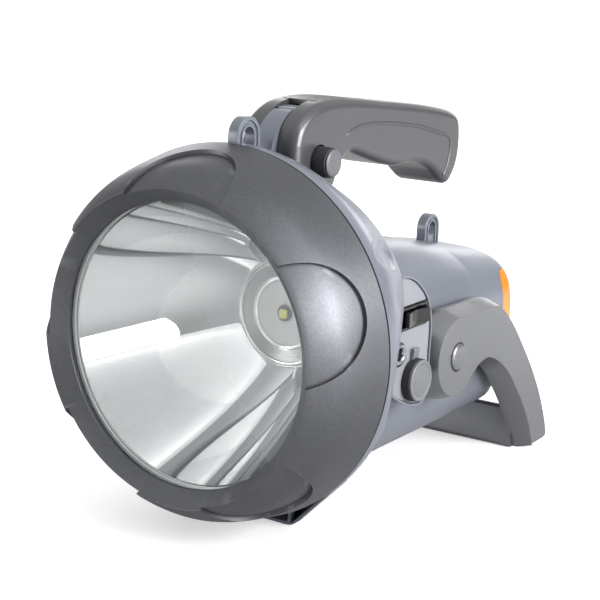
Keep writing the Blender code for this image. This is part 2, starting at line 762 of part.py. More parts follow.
def pivot():
    return (PIVOT_DEPTH, PIVOT_RISE)


def bore(radius, steps=COARSE):
    """Radius of a faceted hole whose flats keep a running fit round a shaft."""
    return (radius + PIN_FIT) / math.cos(math.pi / steps)


def disc(centre, radius, x_low, x_high, steps=MEDIUM):
    """A round bar across the lamp."""
    return side_prism(arc(centre, radius, 0, 360 - 360 / steps, steps - 1), x_low, x_high)


def neck_outline():
    """Round web with fine detent teeth along its upper rim and a stem below."""
    stem = NECK_STEM
    floor_drop = POCKET_RADIUS + WALL / 2
    teeth = COARSE // 2
    outline = [(PIVOT_DEPTH + stem, PIVOT_RISE - floor_drop), (PIVOT_DEPTH + stem, PIVOT_RISE)]
    outline += arc(pivot(), NECK_RADIUS - NECK_TOOTH, 15, 35, 3)
    for number in range(teeth):
        start = 38 + (106 - 38) * number / teeth
        outline += arc(pivot(), NECK_RADIUS, start, start + 2, 1)
        outline += arc(pivot(), NECK_RADIUS - NECK_TOOTH, start + 3, start + 5, 1)
    outline += arc(pivot(), NECK_RADIUS, 108, 186, COARSE // 2)
    outline += [(PIVOT_DEPTH - stem, PIVOT_RISE - floor_drop)]
    return outline


def eyelet(depth, arch_height, foot, radius, frame, name):
    """Lashing lug: a grooved bar bent over into an arch, with a web at its foot."""
    half = EYELET_HALF_THICKNESS
    deep = half - EYELET_GROOVE
    hole = radius * EYELET_HOLE_SHARE
    lip = radius * EYELET_LIP_SHARE
    groove = radius * EYELET_GROOVE_SHARE
    side = ((hole, half), (lip, half), (lip, deep), (groove, deep), (groove, half), (radius, half))
    profile = side + tuple((out, -across) for out, across in side[::-1])
    steps = COARSE // 2 - 1
    rings = [[(across, depth + out, foot) for out, across in profile]]
    for number in range(steps + 1):
        turn = math.pi * number / steps
        rings.append([(across, depth + out * math.cos(turn), arch_height + out * math.sin(turn))
                      for out, across in profile])
    rings.append([(across, depth - out, foot) for out, across in profile])
    lug = cutter(name, skinned(rings), frame)
    reach = (hole + lip) / 2
    web = block(-deep, deep, depth - reach, depth + reach, foot, arch_height - hole)
    combine(lug, cutter(name + "_web", web, frame), "UNION")
    return lug


def panel_outline(grow):
    """Outline of the control panel, offset outwards by a margin."""
    points = []
    for along, down in PANEL_SHARES:
        points.append((PANEL_REAR - PANEL_LENGTH * (1 - along), PANEL_TOP - PANEL_HEIGHT * down))
    count = len(points)
    out = []
    for i, (depth, height) in enumerate(points):
        before = points[i - 1]
        after = points[(i + 1) % count]
        run = after[0] - before[0]
        climb = after[1] - before[1]
        size = math.hypot(run, climb)
        out.append((depth - grow * climb / size, height + grow * run / size))
    return out


def foot_outline(inset):
    """Front foot as a wide trough shape, seen from the front."""
    low = -AXIS_HEIGHT + inset
    flat = FOOT_FLAT_HALF - inset * math.tan(math.pi / 8)
    top = FOOT_TOP_HALF - inset * math.sqrt(2)
    rise = -FOOT_TOP_DROP
    return ((flat, low), (top, rise), (-top, rise), (-flat, low))


def stand_pivot():
    return (STAND_PIVOT_DEPTH, -STAND_PIVOT_DROP)


def build_housing(frame, finish):
    """Two hollow housing halves that meet on the lamp's middle plane."""
    outer = housing_rings(HOUSING_STEPS, STATION_SHARES, 0, HEAD_START, BODY_REAR)
    cavity = cutter("housing_cavity", skinned(housing_rings(
        CAVITY_STEPS, CAVITY_SHARES, WALL, HEAD_START - OVERRUN, BODY_REAR - WALL)), frame)
    cheek_room = HANDLE_HALF_WIDTH + KNUCKLE_CLEARANCE
    pocket_wall = cutter("pocket_wall", disc(pivot(), POCKET_RADIUS + WALL,
                                             -cheek_room - WALL, cheek_room + WALL), frame)
    pocket = cutter("knuckle_pocket", disc(pivot(), POCKET_RADIUS, -cheek_room, cheek_room),
                    frame)
    combine(cavity, pocket_wall, "DIFFERENCE", "MANIFOLD")
    combine(cavity, cutter("flank_wall", flank_block(WALL), frame), "DIFFERENCE", "MANIFOLD")
    recess_floor = side_prism(panel_outline(PANEL_RIM_WIDTH), PANEL_FACE - PANEL_PLATE - WALL,
                              SEAM_RADIUS + OVERRUN)
    combine(cavity, cutter("recess_floor", recess_floor, frame), "DIFFERENCE", "MANIFOLD")
    neck = cutter("neck_web", side_prism(neck_outline(), -NECK_HALF_THICKNESS,
                                         NECK_HALF_THICKNESS), frame)
    combine(neck, cutter("neck_bore", disc(pivot(), bore(PIN_RADIUS),
                                           -NECK_HALF_THICKNESS - OVERRUN,
                                           NECK_HALF_THICKNESS + OVERRUN, COARSE), frame),
            "DIFFERENCE")
    foot = cutter("front_foot", depth_prism(foot_outline(0), FOOT_FRONT, FOOT_BACK), frame)
    pocket_front = FOOT_FRONT - OVERRUN
    pocket_back = FOOT_BACK - FOOT_WALL
    rib = FOOT_FLAT_HALF
    rib_half = FOOT_WALL / 2
    low = -AXIS_HEIGHT + FOOT_WALL
    edge = rib + rib_half
    slope_low = low + edge - (FOOT_FLAT_HALF - FOOT_WALL * math.tan(math.pi / 8))
    middle = ((rib - rib_half, low), (rib - rib_half, -FOOT_TOP_DROP - FOOT_WALL),
              (-rib + rib_half, -FOOT_TOP_DROP - FOOT_WALL), (-rib + rib_half, low))
    shapes = [depth_prism(middle, pocket_front, pocket_back)]
    far = FOOT_TOP_HALF - FOOT_WALL * 2
    for side in (1, -1):
        corner = ((side * edge, slope_low + FOOT_WALL), (side * far, -FOOT_TOP_DROP - FOOT_WALL),
                  (side * edge, -FOOT_TOP_DROP - FOOT_WALL))
        shapes.append(depth_prism(corner, pocket_front, pocket_back))
    hollows = cutter("foot_hollows", join_meshes(*shapes), frame)
    head_keep = cutter("foot_trim", skinned(housing_rings(
        CAVITY_STEPS, CAVITY_SHARES, WALL / 2, HEAD_START - OVERRUN, BODY_REAR - WALL)), frame)
    combine(head_keep, cutter("flank_trim", flank_block(WALL / 2), frame), "DIFFERENCE",
            "MANIFOLD")
    flank = cutter("head_flank", flank_block(0), frame)
    combine(foot, hollows, "DIFFERENCE", "MANIFOLD")
    combine(foot, head_keep, "DIFFERENCE", "MANIFOLD")
    front_lug = eyelet(HEAD_START + FRONT_EYELET_SETBACK, HEAD_RADIUS + FRONT_EYELET_RISE,
                       HEAD_RADIUS - FRONT_EYELET_ROOT, FRONT_EYELET_RADIUS, frame,
                       "front_eyelet")
    rear_depth = BODY_REAR - REAR_EYELET_INSET
    rear_top = BODY_TOP * read_shares(BODY_TOP_SHARES, body_share(rear_depth))
    rear_lug = eyelet(rear_depth, rear_top + REAR_EYELET_RISE, rear_top - REAR_EYELET_ROOT,
                      REAR_EYELET_RADIUS, frame, "rear_eyelet")
    boss = cutter("panel_boss", side_prism(panel_outline(PANEL_RIM_WIDTH), BODY_HALF_WIDTH / 2,
                                           PANEL_FACE + PANEL_RIM), frame)
    combine(boss, head_keep, "DIFFERENCE", "MANIFOLD")
    bosses = []
    deep = BODY_HALF_WIDTH - WALL
    for side in (1, -1):
        bosses.append(disc(stand_pivot(), HUB_BOSS_RADIUS, side * deep,
                           side * (STAND_INNER - RUN)))
    hubs = cutter("hub_bosses", join_meshes(*bosses), frame)
    bores = cutter("hub_bores", join_meshes(*(
        disc(stand_pivot(), bore(STAND_PIN_RADIUS + GAP), side * (deep - OVERRUN),
             side * (STAND_INNER + OVERRUN), COARSE) for side in (1, -1))), frame)
    plate_room = cutter("panel_recess", side_prism(panel_outline(GAP), PANEL_FACE - PANEL_PLATE,
                                                   SEAM_RADIUS + OVERRUN), frame)
    wells = cutter("panel_wells", panel_wells(), frame)
    tail_cut = cutter("tail_opening", tail_block(GAP), frame)
    tail_core = tail_opening_core()
    tail_room = cutter("tail_room", tail_core, frame)
    for side, name in ((1, "housing_right"), (-1, "housing_left")):
        half = piece(name, skinned(outer), finish, frame)
        steps = [(cavity, "DIFFERENCE"), (pocket, "DIFFERENCE"), (neck, "UNION"),
                 (foot, "UNION"), (hubs, "UNION"), (bores, "DIFFERENCE"),
                 (front_lug, "UNION"), (rear_lug, "UNION")]
        if side > 0:
            steps += [(boss, "UNION"), (plate_room, "DIFFERENCE"), (wells, "DIFFERENCE")]
            steps.insert(0, (flank, "DIFFERENCE"))
        keep = GAP / 2
        span = SEAM_RADIUS + OVERRUN
        limits = sorted((side * keep, side * span))
        room = cutter(name + "_half", block(limits[0], limits[1], HEAD_START - OVERRUN * 2,
                                            BODY_REAR + OVERRUN * 2, -AXIS_HEIGHT - OVERRUN,
                                            AXIS_HEIGHT + SEAM_RADIUS), frame)
        steps += [(tail_cut, "DIFFERENCE"), (tail_room, "DIFFERENCE"), (room, "INTERSECT")]
        for shape, operation in steps:
            combine(half, shape, operation, "MANIFOLD")


# Rear lens

def tail_block(grow):
    """Side-view block that marks out the amber lens."""
    top = TAIL_LENS_TOP + grow
    low = -TAIL_LENS_BOTTOM - grow
    start = TAIL_LENS_START - grow
    far = BODY_REAR + OVERRUN
    outline = ((start, low), (far, low), (far, top), (start + TAIL_LENS_SKEW, top),
               (start + TAIL_LENS_SKEW / 3, top - TAIL_LENS_SKEW))
    span = BODY_HALF_WIDTH + OVERRUN
    return side_prism(outline, -span, span)


def tail_opening_core():
    """Opening behind the lens that lets the tail lamp into the body."""
    half = BODY_HALF_WIDTH - WALL * 4
    return block(-half, half, TAIL_LENS_START - WALL * 3, BODY_REAR,
                 -TAIL_LENS_BOTTOM + WALL * 2, TAIL_LENS_TOP - WALL * 2)


def build_tail(frame, amber, board_green, clear):
    """Amber wrap-around lens with its board and small lamps."""
    lens = piece("tail_lens", skinned(housing_rings(HOUSING_STEPS, STATION_SHARES, 0, BODY_START * 2,
                                                    BODY_REAR)), amber, frame)
    combine(lens, cutter("tail_lens_block", tail_block(0), frame), "INTERSECT")
    hollow = skinned(housing_rings(CAVITY_STEPS, CAVITY_SHARES, TAIL_LENS_WALL, BODY_START * 2,
                                   BODY_REAR - TAIL_LENS_WALL))
    combine(lens, cutter("tail_lens_hollow", hollow, frame), "DIFFERENCE")
    back = TAIL_LENS_START + TAIL_BOARD_INSET
    side = BODY_HALF_WIDTH * read_shares(BODY_WIDTH_SHARES, body_share(back))
    board_half = side - TAIL_LENS_WALL - TAIL_BOARD_THICKNESS
    middle = (TAIL_LENS_TOP - TAIL_LENS_BOTTOM) / 2
    board = block(-board_half, board_half, back - TAIL_BOARD_THICKNESS, back,
                  middle - TAIL_LED_PITCH / 2, middle + TAIL_LED_PITCH / 2)
    piece("tail_board", board, board_green, frame)
    profile = ((0, 0), (TAIL_LED_RADIUS, 0), (TAIL_LED_RADIUS, TAIL_LED_HEIGHT / 2),
               (TAIL_LED_RADIUS * 0.7, TAIL_LED_HEIGHT * 0.85), (0, TAIL_LED_HEIGHT))
    row_half = TAIL_LED_PITCH * TAIL_LED_COUNT / 2
    places = [(number + 0.5) * TAIL_LED_PITCH - row_half for number in range(TAIL_LED_COUNT)]
    repeated("tail_led", turned(profile, COARSE // 2), clear, frame,
             [(place, back + GAP, middle) for place in places], along_lamp())


# Control panel

def panel_wells():
    """Holes through the boss and the plate for the switch, jack and socket bodies."""
    deep = PANEL_FACE - PANEL_PLATE - SOCKET_BODY - WALL
    top = PANEL_FACE + OVERRUN
    switch = block(deep, top, SWITCH_DEPTH - SWITCH_HALF_LENGTH, SWITCH_DEPTH
                   + SWITCH_HALF_LENGTH, SWITCH_RISE - SWITCH_HALF_HEIGHT,
                   SWITCH_RISE + SWITCH_HALF_HEIGHT)
    jack = disc((JACK_DEPTH, -JACK_DROP), JACK_RADIUS - GAP, deep, top, COARSE)
    socket = disc((SOCKET_DEPTH, -SOCKET_DROP), SOCKET_RADIUS + GAP, deep, top, COARSE)
    return join_meshes(switch, jack, socket)


def build_panel(frame, grey, black, chrome, rubber, dark):
    """Panel plate with mode switch, jack ring and charging socket."""
    low = PANEL_FACE - PANEL_PLATE + GAP
    plate = piece("control_panel", side_prism(panel_outline(0), low, PANEL_FACE), grey, frame)
    combine(plate, cutter("panel_holes", panel_wells(), frame), "DIFFERENCE")
    frame_low = PANEL_FACE - SWITCH_BODY_DEPTH
    frame_top = PANEL_FACE + SWITCH_FRAME_RISE
    long_half = SWITCH_HALF_LENGTH - GAP
    high_half = SWITCH_HALF_HEIGHT - GAP
    housing = piece("switch_housing", block(
        frame_low, frame_top, SWITCH_DEPTH - long_half, SWITCH_DEPTH + long_half,
        SWITCH_RISE - high_half, SWITCH_RISE + high_half), black, frame)
    well = block(frame_low + SWITCH_FRAME, frame_top + OVERRUN,
                 SWITCH_DEPTH - long_half + SWITCH_FRAME, SWITCH_DEPTH + long_half - SWITCH_FRAME,
                 SWITCH_RISE - high_half + SWITCH_FRAME, SWITCH_RISE + high_half - SWITCH_FRAME)
    combine(housing, cutter("switch_well", well, frame), "DIFFERENCE")
    ring = ((JACK_HOLE, -JACK_BODY), (JACK_RADIUS - RUN, -JACK_BODY), (JACK_RADIUS - RUN, GAP),
            (JACK_RADIUS + RUN, GAP), (JACK_RADIUS + RUN, JACK_RISE / 2),
            (JACK_RADIUS - RUN, JACK_RISE), (JACK_HOLE + RUN, JACK_RISE), (JACK_HOLE, JACK_RISE / 2))
    piece("charge_jack", turned(ring, COARSE), chrome, frame,
          location=(PANEL_FACE, JACK_DEPTH, -JACK_DROP), rotation=across_lamp())
    pin_top = -JACK_RISE
    light = ((0, -JACK_BODY), (JACK_HOLE - GAP, -JACK_BODY), (JACK_HOLE - GAP, pin_top),
             (0, pin_top))
    piece("charge_indicator", turned(light, COARSE), dark, frame,
          location=(PANEL_FACE, JACK_DEPTH, -JACK_DROP), rotation=across_lamp())
    tube = ((0, -SOCKET_BODY), (SOCKET_RADIUS, -SOCKET_BODY), (SOCKET_RADIUS, SOCKET_RISE),
            (SOCKET_HOLE, SOCKET_RISE), (SOCKET_HOLE, -SOCKET_BODY / 2), (0, -SOCKET_BODY / 2))
    socket = piece("charge_socket", turned(tube, COARSE), black, frame,
                   location=(PANEL_FACE, SOCKET_DEPTH, -SOCKET_DROP), rotation=across_lamp())
    return socket


def build_rocker(datum, black):
    """Rocker of the mode switch on its own vertical axis."""
    axis_x = PANEL_FACE - SWITCH_FRAME
    axis = empty("mode_switch_axis", (axis_x, SWITCH_DEPTH, SWITCH_RISE), datum)
    half = SWITCH_HALF_LENGTH - GAP - SWITCH_FRAME - RUN
    high = SWITCH_HALF_HEIGHT - GAP - SWITCH_FRAME - RUN
    top = PANEL_FACE + SWITCH_FRAME_RISE + ROCKER_RISE - axis_x
    saddle = PANEL_FACE + SWITCH_FRAME_RISE + ROCKER_RISE * 0.35 - axis_x
    lean = math.radians(ROCKER_ANGLE)
    low = RUN
    reach = math.sqrt(half ** 2 - top ** 2 * math.sin(lean) ** 2) - top * math.sin(lean) / 2
    shoulder = half - top * math.sin(lean)
    outline = [(low - SWITCH_FRAME, -reach * 0.55), (low, -shoulder), (top, -shoulder),
               (saddle, 0), (top, shoulder), (low, shoulder), (low - SWITCH_FRAME, reach * 0.55)]
    rocker = skinned([[(x, y, z) for x, y in outline] for z in (-high, high)])
    piece("mode_rocker", rocker, black, axis)


def build_cap(datum, rubber):
    """Round rubber cap of the charging socket on a strap hinge above it."""
    hinge_rise = CAP_RADIUS + CAP_EAR_LENGTH
    axis = empty("socket_cap_axis", (PANEL_FACE + GAP + CAP_HINGE_RADIUS, SOCKET_DEPTH,
                                     -SOCKET_DROP + hinge_rise), datum)
    base = -CAP_HINGE_RADIUS
    roof = base + CAP_HEIGHT
    inner = CAP_RADIUS - CAP_WALL
    room = base + SOCKET_RISE + RUN
    cup = ((0, roof), (CAP_RADIUS - CAP_EDGE, roof), (CAP_RADIUS, roof - CAP_EDGE),
           (CAP_RADIUS, base), (inner, base), (inner, room), (0, room))
    cap = piece("socket_cap", turned(cup, COARSE + COARSE // 2), rubber, axis,
                location=(0, 0, -hinge_rise), rotation=across_lamp())
    ear = skinned([[(x, y, z) for x, z in ((base, -CAP_EAR_LENGTH - CAP_WALL / 2),
                                           (base + CAP_HINGE_RADIUS, -CAP_EAR_LENGTH
                                            - CAP_WALL / 2),
                                           (CAP_HINGE_RADIUS, 0), (0, CAP_HINGE_RADIUS),
                                           (base, 0))]
                   for y in (-CAP_EAR_HALF, CAP_EAR_HALF)])
    combine(cap, cutter("cap_strap", ear, axis), "UNION")


# Handle

def handle_outline():
    """Side outline of the handle about its pivot: knuckle, grip and hook."""
    points = arc((0, 0), KNUCKLE_RADIUS, -42, -180, COARSE // 2)
    rise = [(along * HANDLE_REACH, up * HANDLE_RISE) for along, up in HANDLE_FRONT_SHARES]
    fall = [(along * HANDLE_REACH, up * HANDLE_DROP) for along, up in HANDLE_REAR_SHARES]
    grip = curve_through(rise + fall, 2)
    return points + grip


def build_handle(datum, dark, black, grey, steel):
    """Two handle halves, their screws and the lock button."""
    axis = empty("handle_axis", (0, PIVOT_DEPTH, PIVOT_RISE), datum)
    outline = handle_outline()
    web_room = cutter("web_room", disc((0, 0), NECK_RADIUS + KNUCKLE_CLEARANCE,
                                       -NECK_HALF_THICKNESS - RUN, NECK_HALF_THICKNESS + RUN),
                      axis)
    slot_near = SLOT_SETBACK - SLOT_WIDTH / 2
    slot_far = slot_near + SLOT_WIDTH
    front_room = block(-NECK_HALF_THICKNESS - RUN, NECK_HALF_THICKNESS + RUN,
                       -HANDLE_REACH, slot_far, NECK_HALF_THICKNESS, HANDLE_RISE * 2)
    strip_room = cutter("strip_room", front_room, axis)
    slot = cutter("detent_slot", block(-SLOT_HALF_LENGTH, SLOT_HALF_LENGTH, slot_near, slot_far,
                                       NECK_RADIUS - NECK_TOOTH - WALL, HANDLE_RISE * 2), axis)
    pin_bore = cutter("handle_bore", disc((0, 0), bore(PIN_RADIUS),
                                          -HANDLE_HALF_WIDTH - OVERRUN,
                                          HANDLE_HALF_WIDTH + OVERRUN, COARSE), axis)
    seat = cutter("button_seat", disc((0, 0), BUTTON_RADIUS + RUN,
                                      HANDLE_HALF_WIDTH - BUTTON_SEAT,
                                      HANDLE_HALF_WIDTH + OVERRUN, MEDIUM), axis)
    for side, name in ((1, "handle_right"), (-1, "handle_left")):
        inner = side * GAP / 2
        outer = side * HANDLE_HALF_WIDTH
        bm = side_prism(outline, inner, outer)
        edges = [edge for edge in bm.edges
                 if all(abs(vert.co.x - outer) < GAP / 10 for vert in edge.verts)]
        bmesh.ops.bevel(bm, geom=edges, offset=HANDLE_EDGE, offset_type="OFFSET", segments=2,
                        profile=0.5, affect="EDGES", clamp_overlap=False, material=-1)
        half = piece(name, bm, dark, axis)
        combine(half, web_room, "DIFFERENCE")
        combine(half, strip_room, "DIFFERENCE")
        combine(half, slot, "DIFFERENCE")
        combine(half, pin_bore, "DIFFERENCE")
        if side > 0:
            combine(half, seat, "DIFFERENCE")
    button_axis = empty("lock_button_axis", (0, 0, 0), axis)
    top = HANDLE_HALF_WIDTH + BUTTON_STAND_OUT
    low = HANDLE_HALF_WIDTH - BUTTON_SEAT + BUTTON_TRAVEL + GAP
    hollow = BUTTON_RADIUS - BUTTON_WALL * 2
    taper = BUTTON_RADIUS - BUTTON_WALL / 4
    body = ((hollow, low), (BUTTON_RADIUS, low), (BUTTON_RADIUS, HANDLE_HALF_WIDTH),
            (taper, top), (0, top), (0, top - BUTTON_WALL), (hollow, top - BUTTON_WALL))
    profile = body[5:] + body[:5]
    piece("lock_button", turned(profile, MEDIUM // 2), black, button_axis,
          rotation=across_lamp())
    cap_top = top + GAP + BUTTON_CAP_RISE
    cap = ((0, top + GAP), (BUTTON_CAP_RADIUS, top + GAP),
           (BUTTON_CAP_RADIUS, top + GAP + BUTTON_CAP_RISE / 3),
           (BUTTON_CAP_RADIUS * 0.75, cap_top - BUTTON_CAP_RISE / 5), (0, cap_top))
    piece("lock_button_cap", turned(cap, MEDIUM // 2), grey, button_axis,
          rotation=across_lamp())
    return axis


def build_handle_pin(datum, steel):
    """Steel pin through the neck web that the handle turns on."""
    left = -HANDLE_HALF_WIDTH + BUTTON_SEAT / 2
    right = HANDLE_HALF_WIDTH - BUTTON_SEAT - RUN
    chamfer = PIN_RADIUS / 8
    pin = ((0, left), (PIN_RADIUS - chamfer, left), (PIN_RADIUS, left + chamfer),
           (PIN_RADIUS, right - chamfer), (PIN_RADIUS - chamfer, right), (0, right))
    piece("handle_pivot_pin", turned(pin, COARSE), steel, datum,
          location=(0, PIVOT_DEPTH, PIVOT_RISE), rotation=across_lamp())


# Stand

def stand_outline():
    """Side outline of a stand arm about its pivot."""
    top = [(along * STAND_REACH, up * STAND_FALL) for along, up in STAND_TOP_SHARES]
    under = [(along * STAND_REACH, up * STAND_FALL) for along, up in STAND_UNDER_SHARES]
    hub = arc((0, 0), STAND_HUB_RADIUS, -48, -268, COARSE)
    return curve_through(top, 2) + curve_through(under, 2) + hub


def build_stand(datum, dark):
    """U-shaped stand: two bevelled arms joined by a foot bar."""
    axis = empty("stand_axis", (0, STAND_PIVOT_DEPTH, -STAND_PIVOT_DROP), datum)
    outline = stand_outline()
    arms = []
    for side, name in ((1, "stand"), (-1, "stand_left_arm")):
        bm = side_prism(outline, side * STAND_INNER, side * (STAND_INNER + STAND_WALL))
        bmesh.ops.recalc_face_normals(bm, faces=bm.faces[:])
        face = [f for f in bm.faces if len(f.verts) > 4
                and abs(f.calc_center_median().x) > STAND_INNER + STAND_WALL / 2]
        depth = STAND_FACE - STAND_INNER - STAND_WALL
        bmesh.ops.inset_region(bm, faces=face, thickness=STAND_BEVEL, depth=depth,
                               use_boundary=True, use_even_offset=True)
        if side > 0:
            arm = piece(name, bm, dark, axis)
        else:
            arm = cutter(name, bm, axis)
        arms.append(arm)
    floor = -AXIS_HEIGHT + STAND_PIVOT_DROP
    near = BAR_FOOT_DEPTH - STAND_PIVOT_DEPTH
    top = BAR_TOP_DEPTH - STAND_PIVOT_DEPTH
    rise = -BAR_TOP_DROP + STAND_PIVOT_DROP
    back = near + BAR_HEEL
    bar_outline = [(near, floor)]
    bar_outline += [(near + (top - near) / 3, floor + (rise - floor) * 0.35),
                    (near + (top - near) * 0.7, floor + (rise - floor) * 0.7),
                    (top, rise - BAR_THICKNESS / 4), (top + BAR_THICKNESS / 3, rise),
                    (top + BAR_THICKNESS, rise - BAR_THICKNESS / 4),
                    (back - BAR_THICKNESS / 3, floor + (rise - floor) * 0.4),
                    (back, floor + BAR_THICKNESS / 3), (back, floor)]
    width = STAND_INNER + STAND_WALL / 2
    bar = cutter("stand_bar", side_prism(bar_outline, -width, width), axis)
    stand = arms[0]
    combine(stand, bar, "UNION")
    combine(stand, arms[1], "UNION")
    holes = []
    for side in (1, -1):
        holes.append(disc((0, 0), bore(STAND_PIN_RADIUS), side * (STAND_INNER - OVERRUN),
                          side * (STAND_FACE + OVERRUN), COARSE))
    seats = []
    for side in (1, -1):
        seats.append(disc((0, 0), STAND_CAP_RADIUS + RUN, side * (STAND_FACE - STAND_CAP_SEAT),
                          side * (STAND_FACE + OVERRUN), COARSE))
    combine(stand, cutter("stand_holes", join_meshes(*holes), axis), "DIFFERENCE")
    combine(stand, cutter("stand_cap_seats", join_meshes(*seats), axis), "DIFFERENCE")
    return axis


def build_stand_pins(datum, dark):
    """Domed pins that the stand swings on."""
    low = BODY_HALF_WIDTH - WALL + GAP
    seat = STAND_FACE - STAND_CAP_SEAT + GAP
    profile = ((0, low), (STAND_PIN_RADIUS, low), (STAND_PIN_RADIUS, seat),
               (STAND_CAP_RADIUS, seat),
               (STAND_CAP_RADIUS, STAND_FACE + STAND_CAP_RISE / 3),
               (STAND_CAP_RADIUS * 0.8, STAND_FACE + STAND_CAP_RISE * 0.8),
               (0, STAND_FACE + STAND_CAP_RISE))
    for side, name in ((1, "stand_pin_right"), (-1, "stand_pin_left")):
        piece(name, turned(profile, COARSE), dark, datum,
              location=(0, STAND_PIVOT_DEPTH, -STAND_PIVOT_DROP),
              rotation=(0, side * math.pi / 2, 0))


# Inner works

def build_battery(frame, dark, steel, board_green, black):
    """Sealed battery on its shelf, with the charge board above it."""
    middle = -BODY_CENTRE_DROP
    half = BATTERY_WIDTH / 2
    low = middle - BATTERY_HEIGHT / 2
    high = middle + BATTERY_HEIGHT / 2
    start = BATTERY_START
    end = start + BATTERY_LENGTH
    battery = piece("battery", block(-half, half, start, end, low, high), dark, frame)
    soften(battery, WALL / 2, 1)
    tab = BATTERY_TERMINAL / 2
    terminal = block(-tab, tab, -tab, tab, 0, BATTERY_TERMINAL_RISE)
    repeated("battery_terminal", terminal, steel, frame,
             [(side * (half - BATTERY_TERMINAL), start + BATTERY_TERMINAL, high + GAP)
              for side in (1, -1)])
    floor = -BODY_BOTTOM + WALL + GAP
    shelf_top = low - GAP
    foot = SHELF_THICKNESS
    spread = SHELF_FOOT_SPREAD / 2
    outline = ((-spread, floor), (foot - spread, floor), (foot - spread, shelf_top - foot),
               (spread - foot, shelf_top - foot), (spread - foot, floor), (spread, floor),
               (spread, shelf_top - foot), (half, shelf_top - foot), (half, shelf_top),
               (-half, shelf_top), (-half, shelf_top - foot), (-spread, shelf_top - foot))
    piece("battery_shelf", depth_prism(outline, start + foot, end - foot * 4), black, frame)
    board_low = high + CHARGE_BOARD_LIFT
    board_half = CHARGE_BOARD_WIDTH / 2
    board_start = start + BATTERY_TERMINAL * 3
    board_end = board_start + CHARGE_BOARD_LENGTH
    piece("charge_board", block(-board_half, board_half, board_start, board_end, board_low,
                                board_low + BOARD_THICKNESS), board_green, frame)
    rise = board_low - high - 2 * GAP
    post = turned(((0, 0), (POST_RADIUS, 0), (POST_RADIUS, rise), (0, rise)), COARSE // 2)
    inset = 2 * POST_RADIUS
    repeated("board_post", post, black, frame,
             [(x, y, high + GAP) for x in (inset - board_half, board_half - inset)
              for y in (board_start + inset, board_end - inset)])


def main():
    """Build the whole lamp."""
    clear_scene()
    rear = STAND_PIVOT_DEPTH + STAND_REACH
    datum = empty("lamp_datum", (0, (RIM_FORWARD - rear) / 2, AXIS_HEIGHT))
    gunmetal = material("gunmetal_bezel", (0.10, 0.105, 0.11), 0.38, 0.45)
    slate = material("slate_housing", (0.23, 0.27, 0.32), 0.42, 0.1)
    graphite = material("graphite_handle", (0.11, 0.11, 0.12), 0.42, 0.25)
    rubber = material("black_rubber", (0.015, 0.015, 0.016), 0.7)
    black = material("gloss_black", (0.01, 0.01, 0.011), 0.15)
    grey = material("satin_grey", (0.35, 0.36, 0.38), 0.4)
    chrome = material("chrome", (0.9, 0.9, 0.9), 0.06, 1.0)
    clear = material("clear_lens", (0.95, 0.97, 1.0), 0.03, 0.0, 0.1)
    white = material("white_board", (0.85, 0.85, 0.83), 0.4)
    dark = material("dark_plastic", (0.03, 0.03, 0.033), 0.5)
    yellow = material("led_yellow", (0.75, 0.75, 0.15), 0.3)
    alloy = material("alloy", (0.6, 0.61, 0.62), 0.35, 1.0)
    steel = material("steel", (0.5, 0.5, 0.5), 0.25, 1.0)
    amber = material("amber_lens", (0.95, 0.45, 0.08), 0.12, 0.0, 0.8)
    green = material("green_board", (0.03, 0.18, 0.07), 0.5)
    build_bezel(datum, gunmetal)
    build_seal(datum, rubber)
    build_optics(datum, clear, rubber, chrome)
    build_lamp(datum, chrome, white, dark, yellow, alloy)
    build_housing(datum, slate)
    build_tail(datum, amber, green, clear)
    build_panel(datum, grey, black, chrome, rubber, dark)
    build_rocker(datum, black)
    build_cap(datum, rubber)
    build_handle(datum, graphite, rubber, grey, steel)
    build_handle_pin(datum, steel)
    build_stand(datum, graphite)
    build_stand_pins(datum, graphite)
    build_battery(datum, dark, steel, green, black)


main()
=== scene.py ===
"""Dressed model of a rechargeable spotlight with a turning handle and a swing-out stand.

Metres, +Z up. The lamp looks along -Y and its control panel is on the +X side.
Drafts are drawn from the lamp datum, the centre of the front lip on the optical
axis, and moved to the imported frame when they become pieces.
"""
import logging
import math
from dataclasses import dataclass
from enum import Enum
from functools import cache
from typing import Callable, Optional, Sequence, Union

import bmesh
import bpy
from mathutils import Matrix, Vector


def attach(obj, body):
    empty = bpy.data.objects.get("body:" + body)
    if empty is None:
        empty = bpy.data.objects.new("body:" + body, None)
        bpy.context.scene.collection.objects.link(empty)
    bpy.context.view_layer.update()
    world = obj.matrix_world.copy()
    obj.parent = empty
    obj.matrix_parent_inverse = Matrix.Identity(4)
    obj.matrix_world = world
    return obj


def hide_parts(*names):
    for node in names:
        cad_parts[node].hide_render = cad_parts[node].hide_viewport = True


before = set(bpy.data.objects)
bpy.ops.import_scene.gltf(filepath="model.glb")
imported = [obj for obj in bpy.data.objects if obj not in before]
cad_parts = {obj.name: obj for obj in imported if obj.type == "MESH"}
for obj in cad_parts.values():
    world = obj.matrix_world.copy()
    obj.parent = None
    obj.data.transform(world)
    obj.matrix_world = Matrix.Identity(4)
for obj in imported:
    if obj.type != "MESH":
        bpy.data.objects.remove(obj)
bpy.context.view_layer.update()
LOG = logging.getLogger("spotlight")

Point = tuple[float, float]
Line = list[Point]
Colour = tuple[float, float, float]
Draft = bmesh.types.BMesh

AXIS_HEIGHT = 0.1022
DATUM = Vector((0.0, -0.13165, AXIS_HEIGHT))
# Air between pieces, half of the air between two halves, play of what slides, and how far a
# cutting tool reaches past what it cuts.
GAP = 0.0003
SPLIT = 0.00002
RUN = 0.0006
OVERRUN = 0.004
